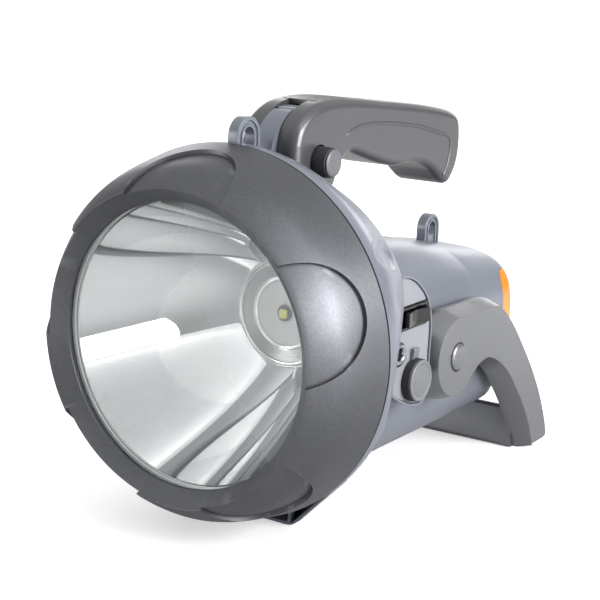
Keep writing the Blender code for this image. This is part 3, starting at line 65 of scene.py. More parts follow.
# Sizes that more than one sub-assembly needs; places are (depth, height).
SEAT_RADIUS = 0.0732
LIP_THICKNESS = 0.0018
PANEL_FACE = 0.0666
PANEL_PLATE = 0.0016
BODY_HALF = 0.0522
BODY_WALL = 0.0026
HANDLE_PIVOT = (0.0903, 0.0812)
HANDLE_PIN = 0.0040
STAND_PIVOT = (0.1505, -0.0245)
STAND_PIN = 0.0043
STAND_INNER = 0.0560
PIN_FIT = 0.00005
SIDES = ((1, "right"), (-1, "left"))


class Axis(Enum):
    """Directions that shapes are spun about or drawn along."""

    OPTICAL = (0.0, 1.0, 0.0)
    ACROSS = (1.0, 0.0, 0.0)


class Cut(Enum):
    """Ways to put two closed drafts together."""

    JOIN = "UNION"
    REMOVE = "DIFFERENCE"
    KEEP = "INTERSECT"


# Outlines


def smooth_line(points: Sequence[Sequence[float]], steps: int) -> list[tuple[float, ...]]:
    """Draw a smooth open line through points.

    Args:
        points: Places that the line passes through.
        steps: Pieces of line between two places.

    Returns:
        The places of the smooth line.
    """
    line = []
    last = len(points) - 1
    for i in range(last):
        before, start = points[max(i - 1, 0)], points[i]
        end, after = points[i + 1], points[min(i + 2, last)]
        for k in range(steps):
            t = k / steps
            line.append(tuple(
                0.5 * (2 * b + (c - a) * t + (2 * a - 5 * b + 4 * c - d) * t * t
                       + (3 * b - a - 3 * c + d) * t ** 3)
                for a, b, c, d in zip(before, start, end, after)))
    line.append(tuple(points[last]))
    return line


def fillet(points: Sequence[Point], radius: float, steps: int = 3, closed: bool = True,
           least: float = 20.0) -> Line:
    """Round the corners of a flat outline.

    Args:
        points: Corners of the outline, in order.
        radius: Reach of the rounding along each side.
        steps: Pieces of line in a rounded corner.
        closed: Whether the last corner joins the first.
        least: Turn in degrees under which a corner is left alone.

    Returns:
        The rounded outline.
    """
    count = len(points)
    out: Line = []
    for i, here in enumerate(points):
        if not closed and i in (0, count - 1):
            out.append(tuple(here))
            continue
        corner = Vector(here)
        back = Vector(points[i - 1]) - corner
        ahead = Vector(points[(i + 1) % count]) - corner
        if back.length < 1e-9 or ahead.length < 1e-9 or 180 - math.degrees(
                back.angle(ahead)) < least:
            out.append(tuple(here))
            continue
        reach = min(radius, 0.45 * back.length, 0.45 * ahead.length)
        first = corner + back.normalized() * reach
        final = corner + ahead.normalized() * reach
        for k in range(steps + 1):
            t = k / steps
            spot = first * (1 - t) ** 2 + corner * 2 * t * (1 - t) + final * t ** 2
            out.append(tuple(spot))
    return out


def arc(centre: Point, radius: float, start: float, end: float, steps: int) -> Line:
    """Draw part of a circle, in degrees from the first axis towards the second."""
    turns = [math.radians(start + (end - start) * i / steps) for i in range(steps + 1)]
    return [(centre[0] + radius * math.cos(t), centre[1] + radius * math.sin(t)) for t in turns]


def read_shares(shares: Sequence[Point], along: float) -> float:
    """Read a table of (place, value) shares at one place."""
    if along <= shares[0][0]:
        return shares[0][1]
    for (low, first), (high, second) in zip(shares, shares[1:]):
        if along <= high:
            return first + (second - first) * (along - low) / (high - low)
    return shares[-1][1]


def offset_line(points: Sequence[Point], grow: float, closed: bool = True) -> Line:
    """Move a line's pieces sideways by a margin, outwards on a closed outline."""
    last = len(points) - 1
    out: Line = []
    for i, (across, up) in enumerate(points):
        before = points[i - 1 if closed else max(i - 1, 0)]
        after = points[(i + 1) % (last + 1) if closed else min(i + 1, last)]
        run, climb = after[0] - before[0], after[1] - before[1]
        size = math.hypot(run, climb)
        out.append((across - grow * climb / size, up + grow * run / size))
    return out


def rectangle(left: float, right: float, low: float, high: float) -> Line:
    """Return the corners of a rectangle, in order."""
    return [(left, low), (right, low), (right, high), (left, high)]


# Drafts


def lathe(profile: Sequence[Point], steps: int, axis: Axis = Axis.OPTICAL,
          centre: Point = (0.0, 0.0)) -> Draft:
    """Spin a closed profile about an axis.

    Args:
        profile: (radius, place along the axis) corners.
        steps: Pieces round the full turn.
        axis: Axis of the turn.
        centre: Place of the axis: (depth, height) for one across the lamp.

    Returns:
        A closed draft.
    """
    bm = bmesh.new()
    if axis is Axis.OPTICAL:
        spots = [(radius, along, 0.0) for radius, along in profile]
        middle = (0.0, 0.0, 0.0)
    else:
        spots = [(along, centre[0], centre[1] + radius) for radius, along in profile]
        middle = (0.0, centre[0], centre[1])
    verts = [bm.verts.new(spot) for spot in spots]
    edges = [bm.edges.new(pair) for pair in zip(verts, verts[1:])]
    if profile[0][0] > 1e-9 or profile[-1][0] > 1e-9:
        edges.append(bm.edges.new((verts[-1], verts[0])))
    bmesh.ops.spin(bm, geom=verts + edges, cent=middle, axis=axis.value, dvec=(0, 0, 0),
                   angle=math.tau, steps=steps, use_merge=True, use_duplicate=False)
    bmesh.ops.remove_doubles(bm, verts=bm.verts[:], dist=2e-6)
    bmesh.ops.recalc_face_normals(bm, faces=bm.faces[:])
    return bm


def extruded(spots: Sequence[Sequence[float]], move: Sequence[float]) -> Draft:
    """Draw what a flat face leaves behind along a move."""
    bm = bmesh.new()
    face = bm.faces.new([bm.verts.new(spot) for spot in spots])
    made = bmesh.ops.extrude_face_region(bm, geom=[face], use_keep_orig=True)
    fresh = [item for item in made["geom"] if isinstance(item, bmesh.types.BMVert)]
    bmesh.ops.translate(bm, verts=fresh, vec=move)
    bmesh.ops.recalc_face_normals(bm, faces=bm.faces[:])
    return bm


def prism(outline: Sequence[Point], low: float, high: float, axis: Axis = Axis.ACROSS) -> Draft:
    """Draw a flat outline along an axis.

    Args:
        outline: (depth, height) corners, or (x, height) ones along the optical axis.
        low: Start along the axis.
        high: End along the axis.
        axis: Axis of the extrusion.

    Returns:
        A closed draft.
    """
    if axis is Axis.ACROSS:
        return extruded([(low, depth, height) for depth, height in outline],
                        (high - low, 0.0, 0.0))
    return extruded([(across, low, height) for across, height in outline],
                    (0.0, high - low, 0.0))


def block(x: Point, y: Point, z: Point) -> Draft:
    """Draw a plain box from its limits on each axis."""
    bm = bmesh.new()
    bmesh.ops.create_cube(bm, size=1.0)
    size = Vector((x[1] - x[0], y[1] - y[0], z[1] - z[0]))
    middle = Vector(((x[0] + x[1]) / 2, (y[0] + y[1]) / 2, (z[0] + z[1]) / 2))
    bmesh.ops.scale(bm, verts=bm.verts[:], vec=size)
    bmesh.ops.translate(bm, verts=bm.verts[:], vec=middle)
    return bm


def disc(centre: Point, radius: float, x_low: float, x_high: float, steps: int = 64) -> Draft:
    """Draw a round bar across the lamp."""
    return lathe(rectangle(0.0, radius, x_low, x_high), steps, Axis.ACROSS, centre)


def loft(rings: Sequence[Sequence[Vector]]) -> Draft:
    """Skin a row of closed rings with the same number of points.

    Args:
        rings: Rings of places, in order.

    Returns:
        A closed draft with both ends capped.
    """
    bm = bmesh.new()
    row = bmesh.ops.create_circle(bm, cap_ends=True, segments=len(rings[0]), radius=1.0)["verts"]
    count = len(row)
    for vert, spot in zip(row, rings[0]):
        vert.co = spot
    for ring in rings[1:]:
        rim = [bm.edges.get((row[i], row[(i + 1) % count])) for i in range(count)]
        made = bmesh.ops.extrude_edge_only(bm, edges=rim)
        fresh = {item for item in made["geom"] if isinstance(item, bmesh.types.BMVert)}
        row = [next(edge.other_vert(vert) for edge in vert.link_edges
                    if edge.other_vert(vert) in fresh) for vert in row]
        for vert, spot in zip(row, ring):
            vert.co = spot
    rim = [bm.edges.get((row[i], row[(i + 1) % count])) for i in range(count)]
    bmesh.ops.contextual_create(bm, geom=rim)
    bmesh.ops.recalc_face_normals(bm, faces=bm.faces[:])
    return bm


def sweep(path: Sequence[Vector], side: Vector, half_width: float, height: float,
          steps: int = 8) -> Draft:
    """Draw a half-round bead along a path that lies on a flat face.

    Args:
        path: Places of the bead's middle.
        side: Direction that the bead stands up in.
        half_width: Half of the bead's width.
        height: How far the bead stands up.
        steps: Pieces round its section.

    Returns:
        A closed draft.
    """
    rings = []
    for i, here in enumerate(path):
        ahead = path[min(i + 1, len(path) - 1)] - path[max(i - 1, 0)]
        cross = ahead.normalized().cross(side)
        fade = min(1.0, (min(i, len(path) - 1 - i) + 0.35) / 3)
        ring = []
        for k in range(steps):
            turn = math.tau * k / steps
            up = height * fade * math.sin(turn)
            ring.append(here + cross * half_width * fade * math.cos(turn) + side * up)
        rings.append(ring)
    return loft(rings)


def joined(*drafts: Draft) -> Draft:
    """Put several separate closed drafts into one."""
    whole = bmesh.new()
    for draft in drafts:
        mesh = bpy.data.meshes.new("part")
        draft.to_mesh(mesh)
        draft.free()
        whole.from_mesh(mesh)
        bpy.data.meshes.remove(mesh)
    return whole


def both_sides(centre: Point, radius: float, near: float, far: float, steps: int = 64) -> Draft:
    """Draw the same round bar on the lamp's right and on its left."""
    return joined(*(disc(centre, radius, *sorted((side * near, side * far)), steps)
                    for side, _ in SIDES))


def placed(name: str, data: Optional[bpy.types.ID]) -> bpy.types.Object:
    """Put a new object with its data into the scene."""
    ob = bpy.data.objects.new(name, data)
    bpy.context.scene.collection.objects.link(ob)
    return ob


def shaped(draft: Draft, *steps: tuple[Cut, Draft]) -> Draft:
    """Cut or join a draft with others, one after the other.

    Args:
        draft: The draft that is kept.
        steps: Pairs of a cut and the draft that makes it.

    Returns:
        The finished draft.
    """
    passing = []
    for number, source in enumerate([draft] + [tool for _, tool in steps]):
        bmesh.ops.recalc_face_normals(source, faces=source.faces[:])
        mesh = bpy.data.meshes.new("draft")
        source.to_mesh(mesh)
        source.free()
        passing.append(placed("draft_%d" % number, mesh))
    body = passing[0]
    for (cut, _), tool in zip(steps, passing[1:]):
        change = body.modifiers.new(tool.name, "BOOLEAN")
        change.operation = cut.value
        change.solver = "EXACT"
        change.object = tool
    result = body.evaluated_get(bpy.context.evaluated_depsgraph_get())
    mesh = bpy.data.meshes.new_from_object(result)
    out = bmesh.new()
    out.from_mesh(mesh)
    bpy.data.meshes.remove(mesh)
    for ob in passing:
        data = ob.data
        bpy.data.objects.remove(ob)
        bpy.data.meshes.remove(data)
    return out


# Materials


def tint(code: str) -> Colour:
    """Turn a six-digit colour code into linear red, green and blue."""
    values = [int(code[i:i + 2], 16) / 255 for i in (0, 2, 4)]
    return tuple(v / 12.92 if v <= 0.04045 else ((v + 0.055) / 1.055) ** 2.4 for v in values)


def operator(kind: str, flipped: bool = False) -> Callable[["Wire", "Value"], "Wire"]:
    """Make an operator of wires that adds a Math node.

    Args:
        kind: The node's operation.
        flipped: Whether the wire is the second value.

    Returns:
        The operator.
    """
    def run(wire: "Wire", other: "Value") -> "Wire":
        """Return the node's result."""
        values = (other, wire) if flipped else (wire, other)
        return wire.graph.node("ShaderNodeMath", {"operation": kind}, dict(enumerate(values)))
    return run


class Wire:
    """A shader value that can be used in sums."""

    def __init__(self, graph: "Graph", socket: bpy.types.NodeSocket) -> None:
        """Wrap one output socket of a graph."""
        self.graph = graph
        self.socket = socket

    __add__, __radd__ = operator("ADD"), operator("ADD", True)
    __sub__, __rsub__ = operator("SUBTRACT"), operator("SUBTRACT", True)
    __mul__, __rmul__ = operator("MULTIPLY"), operator("MULTIPLY", True)


Value = Union[Wire, float, Sequence[float]]


class Graph:
    """The node tree of a material or of the world."""

    def __init__(self, name: str, world: bool = False) -> None:
        """Start the tree with its shader."""
        self.owner = (bpy.data.worlds if world else bpy.data.materials).new(name)
        self.owner.use_nodes = True
        self.tree = self.owner.node_tree
        self.shader = self.tree.nodes["Background" if world else "Principled BSDF"]

    def node(self, kind: str, settings: Optional[dict] = None,
             inputs: Optional[dict] = None, output: Union[int, str] = 0) -> Wire:
        """Add a node and wire it up.

        Args:
            kind: Blender's name of the node type.
            settings: Its settings.
            inputs: Values or wires of its sockets, by name or number.
            output: The output socket to return.

        Returns:
            The wire from that output.
        """
        made = self.tree.nodes.new(kind)
        for key, value in (settings or {}).items():
            setattr(made, key, value)
        self.fill(made, inputs or {})
        return Wire(self, made.outputs[output])

    def fill(self, made: bpy.types.Node, inputs: dict) -> None:
        """Set or link the sockets of a node."""
        for key, value in inputs.items():
            socket = made.inputs[key]
            if isinstance(value, Wire):
                self.tree.links.new(value.socket, socket)
            elif isinstance(value, (int, float)):
                socket.default_value = value
            else:
                full = tuple(value)
                if socket.type == "RGBA" and len(full) == 3:
                    full = (*full, 1.0)
                socket.default_value = full

    def coords(self) -> Wire:
        """Return the object coordinates."""
        return self.node("ShaderNodeTexCoord", output="Object")

    def noise(self, scale: float, detail: float = 2.0, rough: float = 0.5,
              spot: Optional[Wire] = None) -> Wire:
        """Return a noise value on the piece."""
        return self.node("ShaderNodeTexNoise", None, {
            "Vector": spot or self.coords(), "Scale": scale, "Detail": detail,
            "Roughness": rough}, "Fac")

    def stretched(self, scale: Sequence[float]) -> Wire:
        """Return object coordinates stretched along the axes."""
        return self.node("ShaderNodeMapping", None, {
            "Vector": self.coords(), "Scale": tuple(scale)})

    def spread(self, value: Value, low: float, high: float, first: float = 0.0,
               last: float = 1.0) -> Wire:
        """Return a value carried from one range to another and held there."""
        return self.node("ShaderNodeMapRange", {"clamp": True}, {
            "Value": value, "From Min": low, "From Max": high, "To Min": first,
            "To Max": last})

    def blend(self, share: Value, first: Value, second: Value) -> Wire:
        """Return a mix of two colours."""
        return self.node("ShaderNodeMix", {"data_type": "RGBA"}, {
            0: share, 6: first, 7: second}, 2)

    def bump(self, height: Wire, depth: float, strength: float) -> Wire:
        """Return normals that follow a height, in metres."""
        return self.node("ShaderNodeBump", None, {
            "Height": height, "Distance": depth, "Strength": strength})

    def edges(self) -> Wire:
        """Return a value that rises along sharp outer edges, for wear and a painted edge
        highlight.
        """
        raw = self.node("ShaderNodeNewGeometry", output="Pointiness")
        return self.spread(raw, 0.515, 0.60)

    def dress(self, **inputs: Value) -> Union[bpy.types.Material, bpy.types.World]:
        """Set the shader's sockets and return what it belongs to."""
        names = {key.replace("_", " ").title().replace("Ior", "IOR"): value
                 for key, value in inputs.items()}
        self.fill(self.shader, names)
        return self.owner


@dataclass(frozen=True)
class Moulding:
    """Painted or self-coloured moulded plastic with fine grain, lighter along sharp edges:
    partly wear, partly a painted highlight.
    """

    name: str
    colour: str
    accent: str
    roughness: float
    metallic: float
    grain: float
    grain_depth: float = 0.00004
    flake: float = 0.15
    # How far sharp edges are lightened: partly edge wear, partly a painted highlight along the
    # rims.
    wear: float = 0.0

    def make(self) -> bpy.types.Material:
        """Build the material."""
        g = Graph(self.name)
        cloud = g.noise(14.0, 4.0, 0.6)
        fleck = g.node("ShaderNodeTexVoronoi", None, {
            "Vector": g.coords(), "Scale": self.grain * 0.8}, "Color")
        spark = g.node("ShaderNodeSeparateColor", None, {"Color": fleck})
        grain = g.noise(self.grain, 2.0, 0.6)
        share = g.spread(cloud, 0.35, 0.65, 0.0, 0.5) + (spark - 0.5) * self.flake
        base = g.blend(share, tint(self.colour), tint(self.accent))
        # Sharp edges are lightened: partly edge wear, partly a painted highlight where rims
        # catch the light.
        rubbed_and_glinting = g.edges() * self.wear
        base = g.blend(rubbed_and_glinting, base, tuple(min(1.0, c * 1.9 + 0.02) for c in tint(self.colour)))
        smear = g.noise(55.0, 3.0, 0.7)
        rough = self.roughness + (grain - 0.5) * 0.14 + (smear - 0.5) * 0.04
        return g.dress(base_color=base, metallic=self.metallic, roughness=rough,
                       normal=g.bump(grain, self.grain_depth, 0.6))


@dataclass(frozen=True)
class Rubber:
    """Matt black rubber with a fine matt grain and patches of dust."""

    name: str
    colour: str = "1b1b1d"
    dust: str = "3a3a3c"
    roughness: float = 0.62

    def make(self) -> bpy.types.Material:
        """Build the material."""
        g = Graph(self.name)
        grain = g.noise(1800.0, 3.0, 0.7)
        dust = g.spread(g.noise(60.0, 4.0, 0.7), 0.45, 0.75, 0.0, 0.5)
        return g.dress(base_color=g.blend(dust, tint(self.colour), tint(self.dust)),
                       roughness=self.roughness + (grain - 0.5) * 0.2,
                       normal=g.bump(grain, 0.00006, 0.5))


@dataclass(frozen=True)
class Gloss:
    """Polished plastic with a faint orange peel and fine hair marks."""

    name: str
    colour: str
    roughness: float = 0.12
    coat: float = 0.2
    specular: float = 0.35

    def make(self) -> bpy.types.Material:
        """Build the material."""
        g = Graph(self.name)
        peel = g.noise(420.0, 2.0, 0.5)
        hair = g.noise(90.0, 5.0, 0.7, g.stretched((1.0, 9.0, 1.0)))
        warm = g.blend(g.spread(hair, 0.4, 0.7, 0.0, 0.4), tint(self.colour),
                       tuple(c * 1.6 + 0.004 for c in tint(self.colour)))
        return g.dress(base_color=warm, roughness=self.roughness + (hair - 0.5) * 0.12,
                       coat_weight=self.coat, coat_roughness=0.04,
                       specular_ior_level=self.specular, normal=g.bump(peel, 0.00003, 0.4))


@dataclass(frozen=True)
class BrightMetal:
    """Plated, polished or turned metal."""

    name: str
    colour: str
    stain: str
    roughness: float
    brush: Sequence[float] = (1.0, 1.0, 1.0)
    brush_scale: float = 500.0
    brush_depth: float = 0.00001

    def make(self) -> bpy.types.Material:
        """Build the material."""
        g = Graph(self.name)
        lines = g.noise(self.brush_scale, 3.0, 0.6, g.stretched(self.brush))
        cloud = g.noise(30.0, 4.0, 0.6)
        base = g.blend(g.spread(cloud, 0.4, 0.7, 0.0, 0.6), tint(self.colour), tint(self.stain))
        return g.dress(base_color=base, metallic=1.0,
                       roughness=self.roughness + (lines - 0.5) * self.roughness * 0.8,
                       normal=g.bump(lines, self.brush_depth, 0.5))


@dataclass(frozen=True)
class CupPlating:
    """Plating of the stepped cup: a darker satin cone between two bright rims."""

    name: str = "cup_plating"
    cone_start: float = 0.0198
    cone_end: float = 0.0262
    rim: str = "f6f7f7"
    cone: str = "8f9190"
    roughness: float = 0.08

    def make(self) -> bpy.types.Material:
        """Build the material."""
        g = Graph(self.name)
        across = g.node("ShaderNodeVectorMath", {"operation": "MULTIPLY_ADD"}, {
            0: g.coords(), 1: (1.0, 0.0, 1.0), 2: (0.0, 0.0, -DATUM.z)}, "Vector")
        radius = g.node("ShaderNodeVectorMath", {"operation": "LENGTH"}, {0: across}, "Value")
        inside = g.spread(radius, self.cone_start - 0.0004, self.cone_start + 0.0004)
        outside = g.spread(radius, self.cone_end - 0.0004, self.cone_end + 0.0004, 1.0, 0.0)
        turning = g.noise(700.0, 2.0, 0.5)
        return g.dress(base_color=g.blend(inside * outside, tint(self.rim), tint(self.cone)),
                       metallic=1.0,
                       roughness=self.roughness + inside * outside * 0.14 + turning * 0.03)


@dataclass(frozen=True)
class ClearWindow:
    """Clear polished front window that shows most at a glancing view."""

    name: str = "clear_window"

    def make(self) -> bpy.types.Material:
        """Build the material."""
        g = Graph(self.name)
        glance = g.node("ShaderNodeLayerWeight", None, {"Blend": 0.35}, "Fresnel")
        haze = g.spread(g.noise(24.0, 3.0, 0.6), 0.4, 0.8, 0.0, 0.006)
        return g.dress(base_color=(0.9, 0.93, 0.95), roughness=0.02, specular_ior_level=0.5,
                       alpha=g.spread(glance, 0.0, 1.0, 0.008, 0.30) + haze)


@dataclass(frozen=True)
class AmberWindow:
    """Clear amber plastic with fine prisms moulded inside, and a faint painted glow."""

    name: str = "amber_window"

    def make(self) -> bpy.types.Material:
        """Build the material."""
        g = Graph(self.name)
        prisms = g.node("ShaderNodeTexWave", {"wave_type": "BANDS", "bands_direction": "Z"}, {
            "Vector": g.coords(), "Scale": 95.0, "Distortion": 0.0}, "Fac")
        depth = g.noise(40.0, 3.0, 0.5)
        base = g.blend(g.spread(depth, 0.35, 0.7), tint("d27c18"), tint("e4943a"))
        base = g.blend(prisms * 0.25, base, tint("c26b08"))
        glance = g.node("ShaderNodeLayerWeight", None, {"Blend": 0.4}, "Facing")
        # The small emission is a painted glow: no lamp lights the tail window.
        return g.dress(base_color=base, roughness=0.14 + depth * 0.08, coat_weight=0.4,
                       coat_roughness=0.03, alpha=g.spread(glance, 0.0, 1.0, 0.86, 1.0),
                       emission_color=base, emission_strength=0.03,
                       normal=g.bump(prisms, 0.00012, 0.5))


@dataclass(frozen=True)
class PaintedBoard:
    """Circuit board with a printed mask, traces and pads."""

    name: str
    mask: str
    trace: str
    scale: float
    roughness: float = 0.35

    def make(self) -> bpy.types.Material:
        """Build the material."""
        g = Graph(self.name)
        cells = g.node("ShaderNodeTexVoronoi", {"distance": "CHEBYCHEV"}, {
            "Vector": g.coords(), "Scale": self.scale, "Randomness": 0.4}, "Distance")
        lines = g.spread(cells, 0.50, 0.54)
        weave = g.noise(700.0, 2.0, 0.6)
        base = g.blend(lines * 0.8, tint(self.mask), tint(self.trace))
        return g.dress(base_color=base, roughness=self.roughness + (weave - 0.5) * 0.12,
                       normal=g.bump(lines, 0.00004, 0.6))


@dataclass(frozen=True)
class Phosphor:
    """Yellow phosphor under a clear dome, with a faint painted glow."""

    name: str = "yellow_phosphor"

    def make(self) -> bpy.types.Material:
        """Build the material."""
        g = Graph(self.name)
        grain = g.noise(1500.0, 3.0, 0.6)
        base = g.blend(grain, tint("d8dc5e"), tint("c4c840"))
        # The emission is a painted glow: the emitter is not switched on.
        return g.dress(base_color=base, roughness=0.25 + grain * 0.1, coat_weight=1.0,
                       coat_roughness=0.02, emission_color=base, emission_strength=0.12,
                       normal=g.bump(grain, 0.00003, 0.4))


class Finish(Enum):
    """All finishes of the lamp."""

    PAINT = Moulding("flake_grey_paint", "5f6064", "6d6e73", 0.45, 0.96, grain=1500.0,
                     flake=0.55, wear=0.5)
    SLATE = Moulding("slate_moulding", "727680", "7a7e88", 0.30, 0.30, grain=2600.0,
                     flake=0.12)
    GRAPHITE = Moulding("graphite_moulding", "5b5b5e", "656568", 0.33, 0.60, grain=2400.0,
                        flake=0.14)
    STAND_GREY = Moulding("stand_moulding", "818286", "8b8c90", 0.30, 0.80, grain=2400.0,
                          flake=0.14)
    PANEL = Moulding("panel_moulding", "85878d", "8e9095", 0.45, 0.1, grain=2000.0, flake=0.2)
    # Painted light: a lighter grey that stands for the lit face of the black rubber lock button.
    BUTTON_PAINTED_LIGHT = Moulding("button_cap_painted_light_moulding", "606165", "6a6b6f", 0.45, 0.2, grain=2000.0,
                      wear=0.25)
    # Painted light: a lighter grey that stands for the lit face of the black rubber socket cap.
    CAP_PAINTED_LIGHT = Moulding("cap_painted_light_moulding", "67686c", "727478", 0.5, 0.1, grain=1500.0,
                        grain_depth=0.0001, flake=0.35, wear=0.3)
    # Near-white seal: a painted highlight for the bright line where the window's edge catches
    # the light.
    SEAL_GLINT = Moulding("seal_painted_glint", "eceeee", "f6f8f8", 0.4, 0.0, grain=1200.0, flake=0.05)
    CUP_BOARD = Moulding("cup_board", "f0f1f0", "f7f7f5", 0.5, 0.0, grain=900.0, flake=0.04)
    RUBBER = Rubber("black_rubber")
    DARK = Rubber("dark_plastic", "222226", "333338", 0.5)
    GLOSS = Gloss("gloss_black_plastic", "0d0d0f")
    EPOXY = Gloss("tinted_epoxy", "e8b56a", 0.15)
    CHROME = BrightMetal("bright_plating", "a9abae", "8c8f93", 0.16)
    MIRROR = BrightMetal("metallised_bowl", "f6f7f7", "eceeee", 0.03, brush_scale=24.0,
                         brush_depth=0.000002)
    ALLOY = BrightMetal("bare_alloy", "b9bcc0", "a2a6aa", 0.35, (1.0, 14.0, 1.0), 400.0,
                        0.00002)
    STEEL = BrightMetal("turned_steel", "c3c5c8", "a8abae", 0.22, (16.0, 1.0, 1.0), 300.0,
                        0.00002)
    CUP = CupPlating()
    WINDOW = ClearWindow()
    AMBER = AmberWindow()
    GREEN_BOARD = PaintedBoard("green_board", "1d5a33", "3f8a52", 210.0)
    PHOSPHOR = Phosphor()


@cache
def material_of(finish: Finish) -> bpy.types.Material:
    """Build a finish's material when it is first asked for."""
    return finish.value.make()


def piece(name: str, draft: Draft, body: str, finish: Finish,
          stands_for: Sequence[str] = (), sharp: float = 32.0,
          edge: float = 0.0, segments: int = 2, edge_angle: float = 32.0) -> bpy.types.Object:
    """Turn a draft into a piece that rides on a body.

    Args:
        name: The piece's name.
        draft: Closed draft, drawn from the lamp datum.
        body: Body that it moves with.
        finish: Its material.
        stands_for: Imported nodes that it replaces.
        sharp: Angle in degrees from which an edge is drawn sharp.
        edge: Width of the rounding along its sharp edges, or zero.
        segments: Pieces across that rounding.
        edge_angle: Angle from which an edge is rounded.

    Returns:
        The piece.
    """
    bmesh.ops.remove_doubles(draft, verts=draft.verts[:], dist=1e-6)
    bmesh.ops.recalc_face_normals(draft, faces=draft.faces[:])
    bmesh.ops.translate(draft, verts=draft.verts[:], vec=DATUM)
    mesh = bpy.data.meshes.new(name)
    draft.to_mesh(mesh)
    draft.free()
    mesh.shade_smooth()
    mesh.set_sharp_from_angle(angle=math.radians(sharp))
    mesh.materials.append(material_of(finish))
    ob = placed(name, mesh)
    if edge:
        rounding = ob.modifiers.new("Rounded edges", "BEVEL")
        rounding.width = edge
        rounding.segments = segments
        rounding.limit_method = "ANGLE"
        rounding.angle_limit = math.radians(edge_angle)
        rounding.harden_normals = True
        rounding.miter_outer = "MITER_ARC"
        evened = ob.modifiers.new("Even shading", "WEIGHTED_NORMAL")
        evened.keep_sharp = True
    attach(ob, body)
    if stands_for:
        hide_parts(*stands_for)
    LOG.info("piece %s on %s, %d faces", name, body, len(mesh.polygons))
    return ob


def dressed(node: bpy.types.Object, finish: Finish) -> None:
    """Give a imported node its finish."""
    node.data.materials.clear()
    node.data.materials.append(material_of(finish))
    LOG.info("node %s wears %s", node.name, finish.value.name)


# Sub-assemblies


@dataclass
class Bezel:
    """Front bezel with five sunk petals, and the black ring behind it."""

    lip_radius: float = 0.0700
    rim_radius: float = 0.0780
    rim_forward: float = 0.0082
    seam_radius: float = 0.0942
    seam_depth: float = 0.0362
    seat_wall: float = 0.0020
    seat_length: float = 0.0100
    petals: int = 5
    petal_step: float = 0.0020
    petal_half_width: float = 0.0285
    petal_length: float = 0.0325
    inner_start: int = 8
    seal_width: float = 0.0011
    seal_drop: float = 0.0006
    seal_height: float = 0.0050
    edge: float = 0.00055
    steps: int = 200
    curve_shares: Sequence[Point] = ((0.0, 0.0), (0.14, 0.06), (0.40, 0.20), (0.63, 0.36),
                                     (0.79, 0.57), (0.92, 0.83), (1.0, 1.0))

    def curve(self, drop: float) -> Line:
        """Draw the outer line from rim to seam, sunk by a drop."""
        line = [(self.rim_radius + (self.seam_radius - self.rim_radius) * radial,
                 (self.seam_depth + self.rim_forward) * along - self.rim_forward)
                for radial, along in smooth_line(self.curve_shares, 4)]
        return offset_line(line, drop, closed=False) if drop else line

    def ring(self) -> Draft:
        """Draw the bezel before its petals are cut."""
        outer = self.curve(0.0)
        inner = [(radius, min(along, self.seam_depth)) for radius, along
                 in self.curve(BODY_WALL)[self.inner_start:]]
        inner[-1] = (self.seam_radius - BODY_WALL, self.seam_depth)
        seat_end = LIP_THICKNESS + self.seat_length
        outside = SEAT_RADIUS + self.seat_wall
        seat = (SEAT_RADIUS, LIP_THICKNESS)
        round_lip = fillet((seat, (self.lip_radius, LIP_THICKNESS), (self.lip_radius, 0.0),
                            outer[0], outer[1]), self.edge * 1.3, 4, closed=False)
        profile = round_lip[1:-1] + outer[1:] + inner[::-1]
        profile += [(outside, LIP_THICKNESS), (outside, seat_end), (SEAT_RADIUS, seat_end), seat]
        return lathe(profile, self.steps)

    def petal_tools(self) -> Draft:
        """Draw the shallow layer that the five petals take away."""
        sunk = self.curve(self.petal_step)[:-1]
        first, second = sunk[1], sunk[2]
        sunk[0] = (2 * first[0] - second[0], 2 * first[1] - second[1])
        far = self.seam_radius + OVERRUN
        start = sunk[0][1] - OVERRUN
        layer = lathe([(far, start), (sunk[0][0], start)] + sunk + [(far, sunk[-1][1])],
                      self.steps)
        prisms = []
        for number in range(self.petals):
            outline = [(across * self.petal_half_width, back * self.petal_length
                        - self.rim_forward) for across, back in arc((0, 0), 1, 0, 180, 40)]
            front = -self.rim_forward - OVERRUN - self.petal_step
            outline += [(-self.petal_half_width, front), (self.petal_half_width, front)]
            bm = extruded([(across, back, self.lip_radius / 2) for across, back in outline],
                          (0, 0, self.seam_radius))
            turn = Matrix.Rotation(math.tau * number / self.petals, 4, "Y")
            bmesh.ops.transform(bm, matrix=turn, verts=bm.verts[:])
            prisms.append(bm)
        return shaped(layer, (Cut.KEEP, joined(*prisms)))

    def build(self) -> None:
        """Make the bezel and the ring in its seam."""
        draft = shaped(self.ring(), (Cut.REMOVE, self.petal_tools()))
        piece("bezel_ring", draft, "lamp_body", Finish.PAINT, ["front_bezel"],
              edge=self.edge, edge_angle=35.0)
        top = self.seam_radius - self.seal_drop
        near = self.seam_depth + GAP
        profile = rectangle(top - self.seal_height, top, near, near + self.seal_width)
        piece("seam_seal", lathe(fillet(profile, 0.0003), self.steps), "lamp_body",
              Finish.RUBBER, ["seam_ring"])


